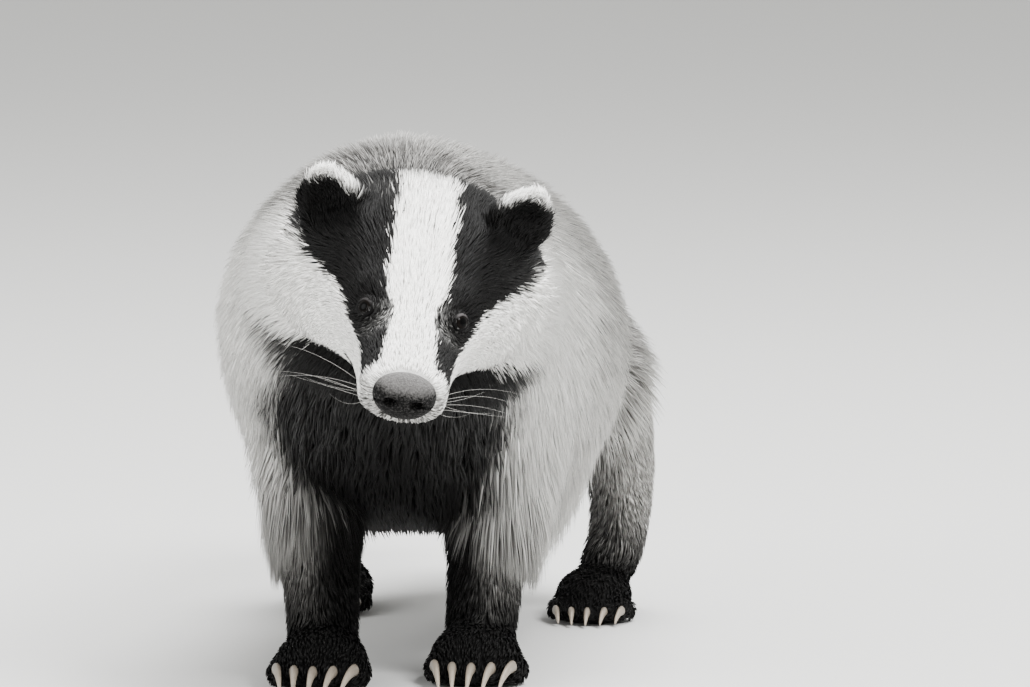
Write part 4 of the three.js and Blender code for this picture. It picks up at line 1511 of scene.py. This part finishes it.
# Whiskers: the root's place along the head, its angle round it in degrees, length, how far it turns
# out, up and back, and how far it curls up.
WHISKER_THICK = 0.07
WHISKERS = [
    (12, -8, 30, 1.0, -0.05, 0.2, 0.3),
    (14, -20, 44, 1.0, -0.1, 0.3, 0.1),
    (18, -10, 58, 1.0, 0.15, 0.4, -0.3),
    (20, -36, 26, 0.8, -0.6, 0.3, 0.6),
    (22, -22, 62, 1.0, -0.05, 0.5, -0.2),
    (26, -14, 66, 1.0, 0.2, 0.6, -0.35),
    (28, -32, 40, 1.0, -0.4, 0.5, 0.4),
]


def whisker(side, place, degrees, length, out, up, back, curl, draw):
    turn = math.radians(degrees if side > 0 else 180 - degrees)
    root = HEAD_FORM.raised(np.array([float(place)]), turn, [-FACE_SUNK])[0]
    heading = unit(HEAD_AXES @ (np.array([out * side, back, up]) + draw.normal(0, 0.12, 3)))
    length = length * draw.uniform(0.8, 1.15)
    bow = np.array([0, 0, -0.2 + curl * draw.uniform(0.5, 1.2)]) + 0.2 * HEAD_AXES[:, 1]
    t = np.linspace(0, 1, 14)[:, None]
    line = root + heading * length * t + bow * length * t**2
    across = unit(np.cross(heading, [0.1, 0.2, 1.0]))
    angle = turns(5)[:, None]
    spokes = across * np.cos(angle) + np.cross(across, heading) * np.sin(angle)
    ring = line[:, None] + (WHISKER_THICK * (1 - 0.75 * t))[..., None] * spokes
    return closed(ring[:-1], line[0], line[-1])


class BADGER_OT_whiskers(bpy.types.Operator):
    """Set the whiskers on the muzzle"""

    bl_idname = "badger.whiskers"
    bl_label = "Whiskers"

    def execute(self, context):
        colour = context.scene.badger_colours.whisker
        other = shade(colour, 0.8)
        material = mottled_material("whisker", other, colour, scale=400.0, detail=2.0, roughness=0.4)
        draw = np.random.default_rng(context.scene.badger_sizes.seed)
        shells = [whisker(side, *row, draw) for side in SIDES.values() for row in WHISKERS]
        whiskers = mesh_object("whiskers", *joined(shells), material)
        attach(whiskers, "root")
        return {"FINISHED"}


# Studio.
CAMERA_AT = (609.994, -5337.02, 691.438)
CAMERA_AIM = (89.758, -387.303, 212.210)
SENSOR_WIDTH = 36
VIEW_DEPTH = 60
FLOOR_RADIUS = 30.0
TOP_LIGHT = 0.8


def in_metres(place):
    return Vector((np.array(place, float) + SHIFT) * MM)


def aimed(made, place, aim):
    made.location = place
    made.rotation_euler = (Vector(aim) - Vector(place)).to_track_quat("-Z", "Y").to_euler()


def area_light(name, place, aim, size, power):
    light = bpy.data.lights.new(name, "AREA")
    light.shape = "DISK"
    light.size = size
    light.energy = power
    aimed(linked(name, light), place, aim)


class BADGER_OT_studio(bpy.types.Operator):
    """Set up the plain floor, the soft lights and the camera"""

    bl_idname = "badger.studio"
    bl_label = "Studio"

    def execute(self, context):
        studio = context.scene.badger_studio
        colour = context.scene.badger_colours.floor
        bpy.ops.mesh.primitive_circle_add(vertices=96, radius=FLOOR_RADIUS, fill_type="NGON")
        floor = context.object
        floor.name = "floor"
        other = shade(colour, 0.97)
        material = mottled_material("floor", colour, other, scale=6.0, detail=3.0, roughness=0.9)
        floor.data.materials.append(material)
        world = bpy.data.worlds.new("studio")
        world.use_nodes = True
        sky = world.node_tree.nodes["Background"]
        Nodes(world.node_tree).feed(sky, {"Color": colour, "Strength": studio.ambient})
        context.scene.world = world
        area_light("key", (1.9, -2.0, 2.8), (0, -0.2, 0.2), size=1.6, power=studio.key)
        area_light("fill", (-2.4, -1.6, 1.5), (0, -0.1, 0.2), size=2.2, power=studio.fill)
        area_light("top", (0.3, 0.6, 3.0), (0, 0, 0.2), size=2.0, power=studio.key * TOP_LIGHT)
        lens = bpy.data.cameras.new("camera")
        lens.lens = studio.lens
        lens.sensor_width = SENSOR_WIDTH
        lens.clip_end = VIEW_DEPTH
        context.scene.camera = linked("camera", lens)
        aimed(context.scene.camera, in_metres(CAMERA_AT), in_metres(CAMERA_AIM))
        return {"FINISHED"}


STEPS = (
    BADGER_OT_studio, BADGER_OT_skin, BADGER_OT_eyes, BADGER_OT_nose, BADGER_OT_claws, BADGER_OT_whiskers,
    BADGER_OT_coat_head, BADGER_OT_coat_body, BADGER_OT_coat_legs,
)


class BADGER_PT_panel(bpy.types.Panel):
    """Lists the pieces of the badger and their settings"""

    bl_idname = "BADGER_PT_panel"
    bl_label = "Badger"
    bl_space_type = "VIEW_3D"
    bl_region_type = "UI"
    bl_category = "Badger"

    def draw(self, context):
        for step in STEPS:
            self.layout.operator(step.bl_idname)
        for group in (context.scene.badger_colours, context.scene.badger_sizes, context.scene.badger_studio):
            box = self.layout.box()
            for name in group.__annotations__:
                box.prop(group, name)


CLASSES = (BadgerColours, BadgerSizes, BadgerStudio, *STEPS, BADGER_PT_panel)


def register():
    for made in CLASSES:
        bpy.utils.register_class(made)
    bpy.types.Scene.badger_colours = PointerProperty(type=BadgerColours)
    bpy.types.Scene.badger_sizes = PointerProperty(type=BadgerSizes)
    bpy.types.Scene.badger_studio = PointerProperty(type=BadgerStudio)


def unregister():
    del bpy.types.Scene.badger_studio
    del bpy.types.Scene.badger_sizes
    del bpy.types.Scene.badger_colours
    for made in reversed(CLASSES):
        bpy.utils.unregister_class(made)


def main():
    register()
    for step in STEPS:
        group, name = step.bl_idname.split(".")
        getattr(getattr(bpy.ops, group), name)()


if __name__ == "__main__":
    main()
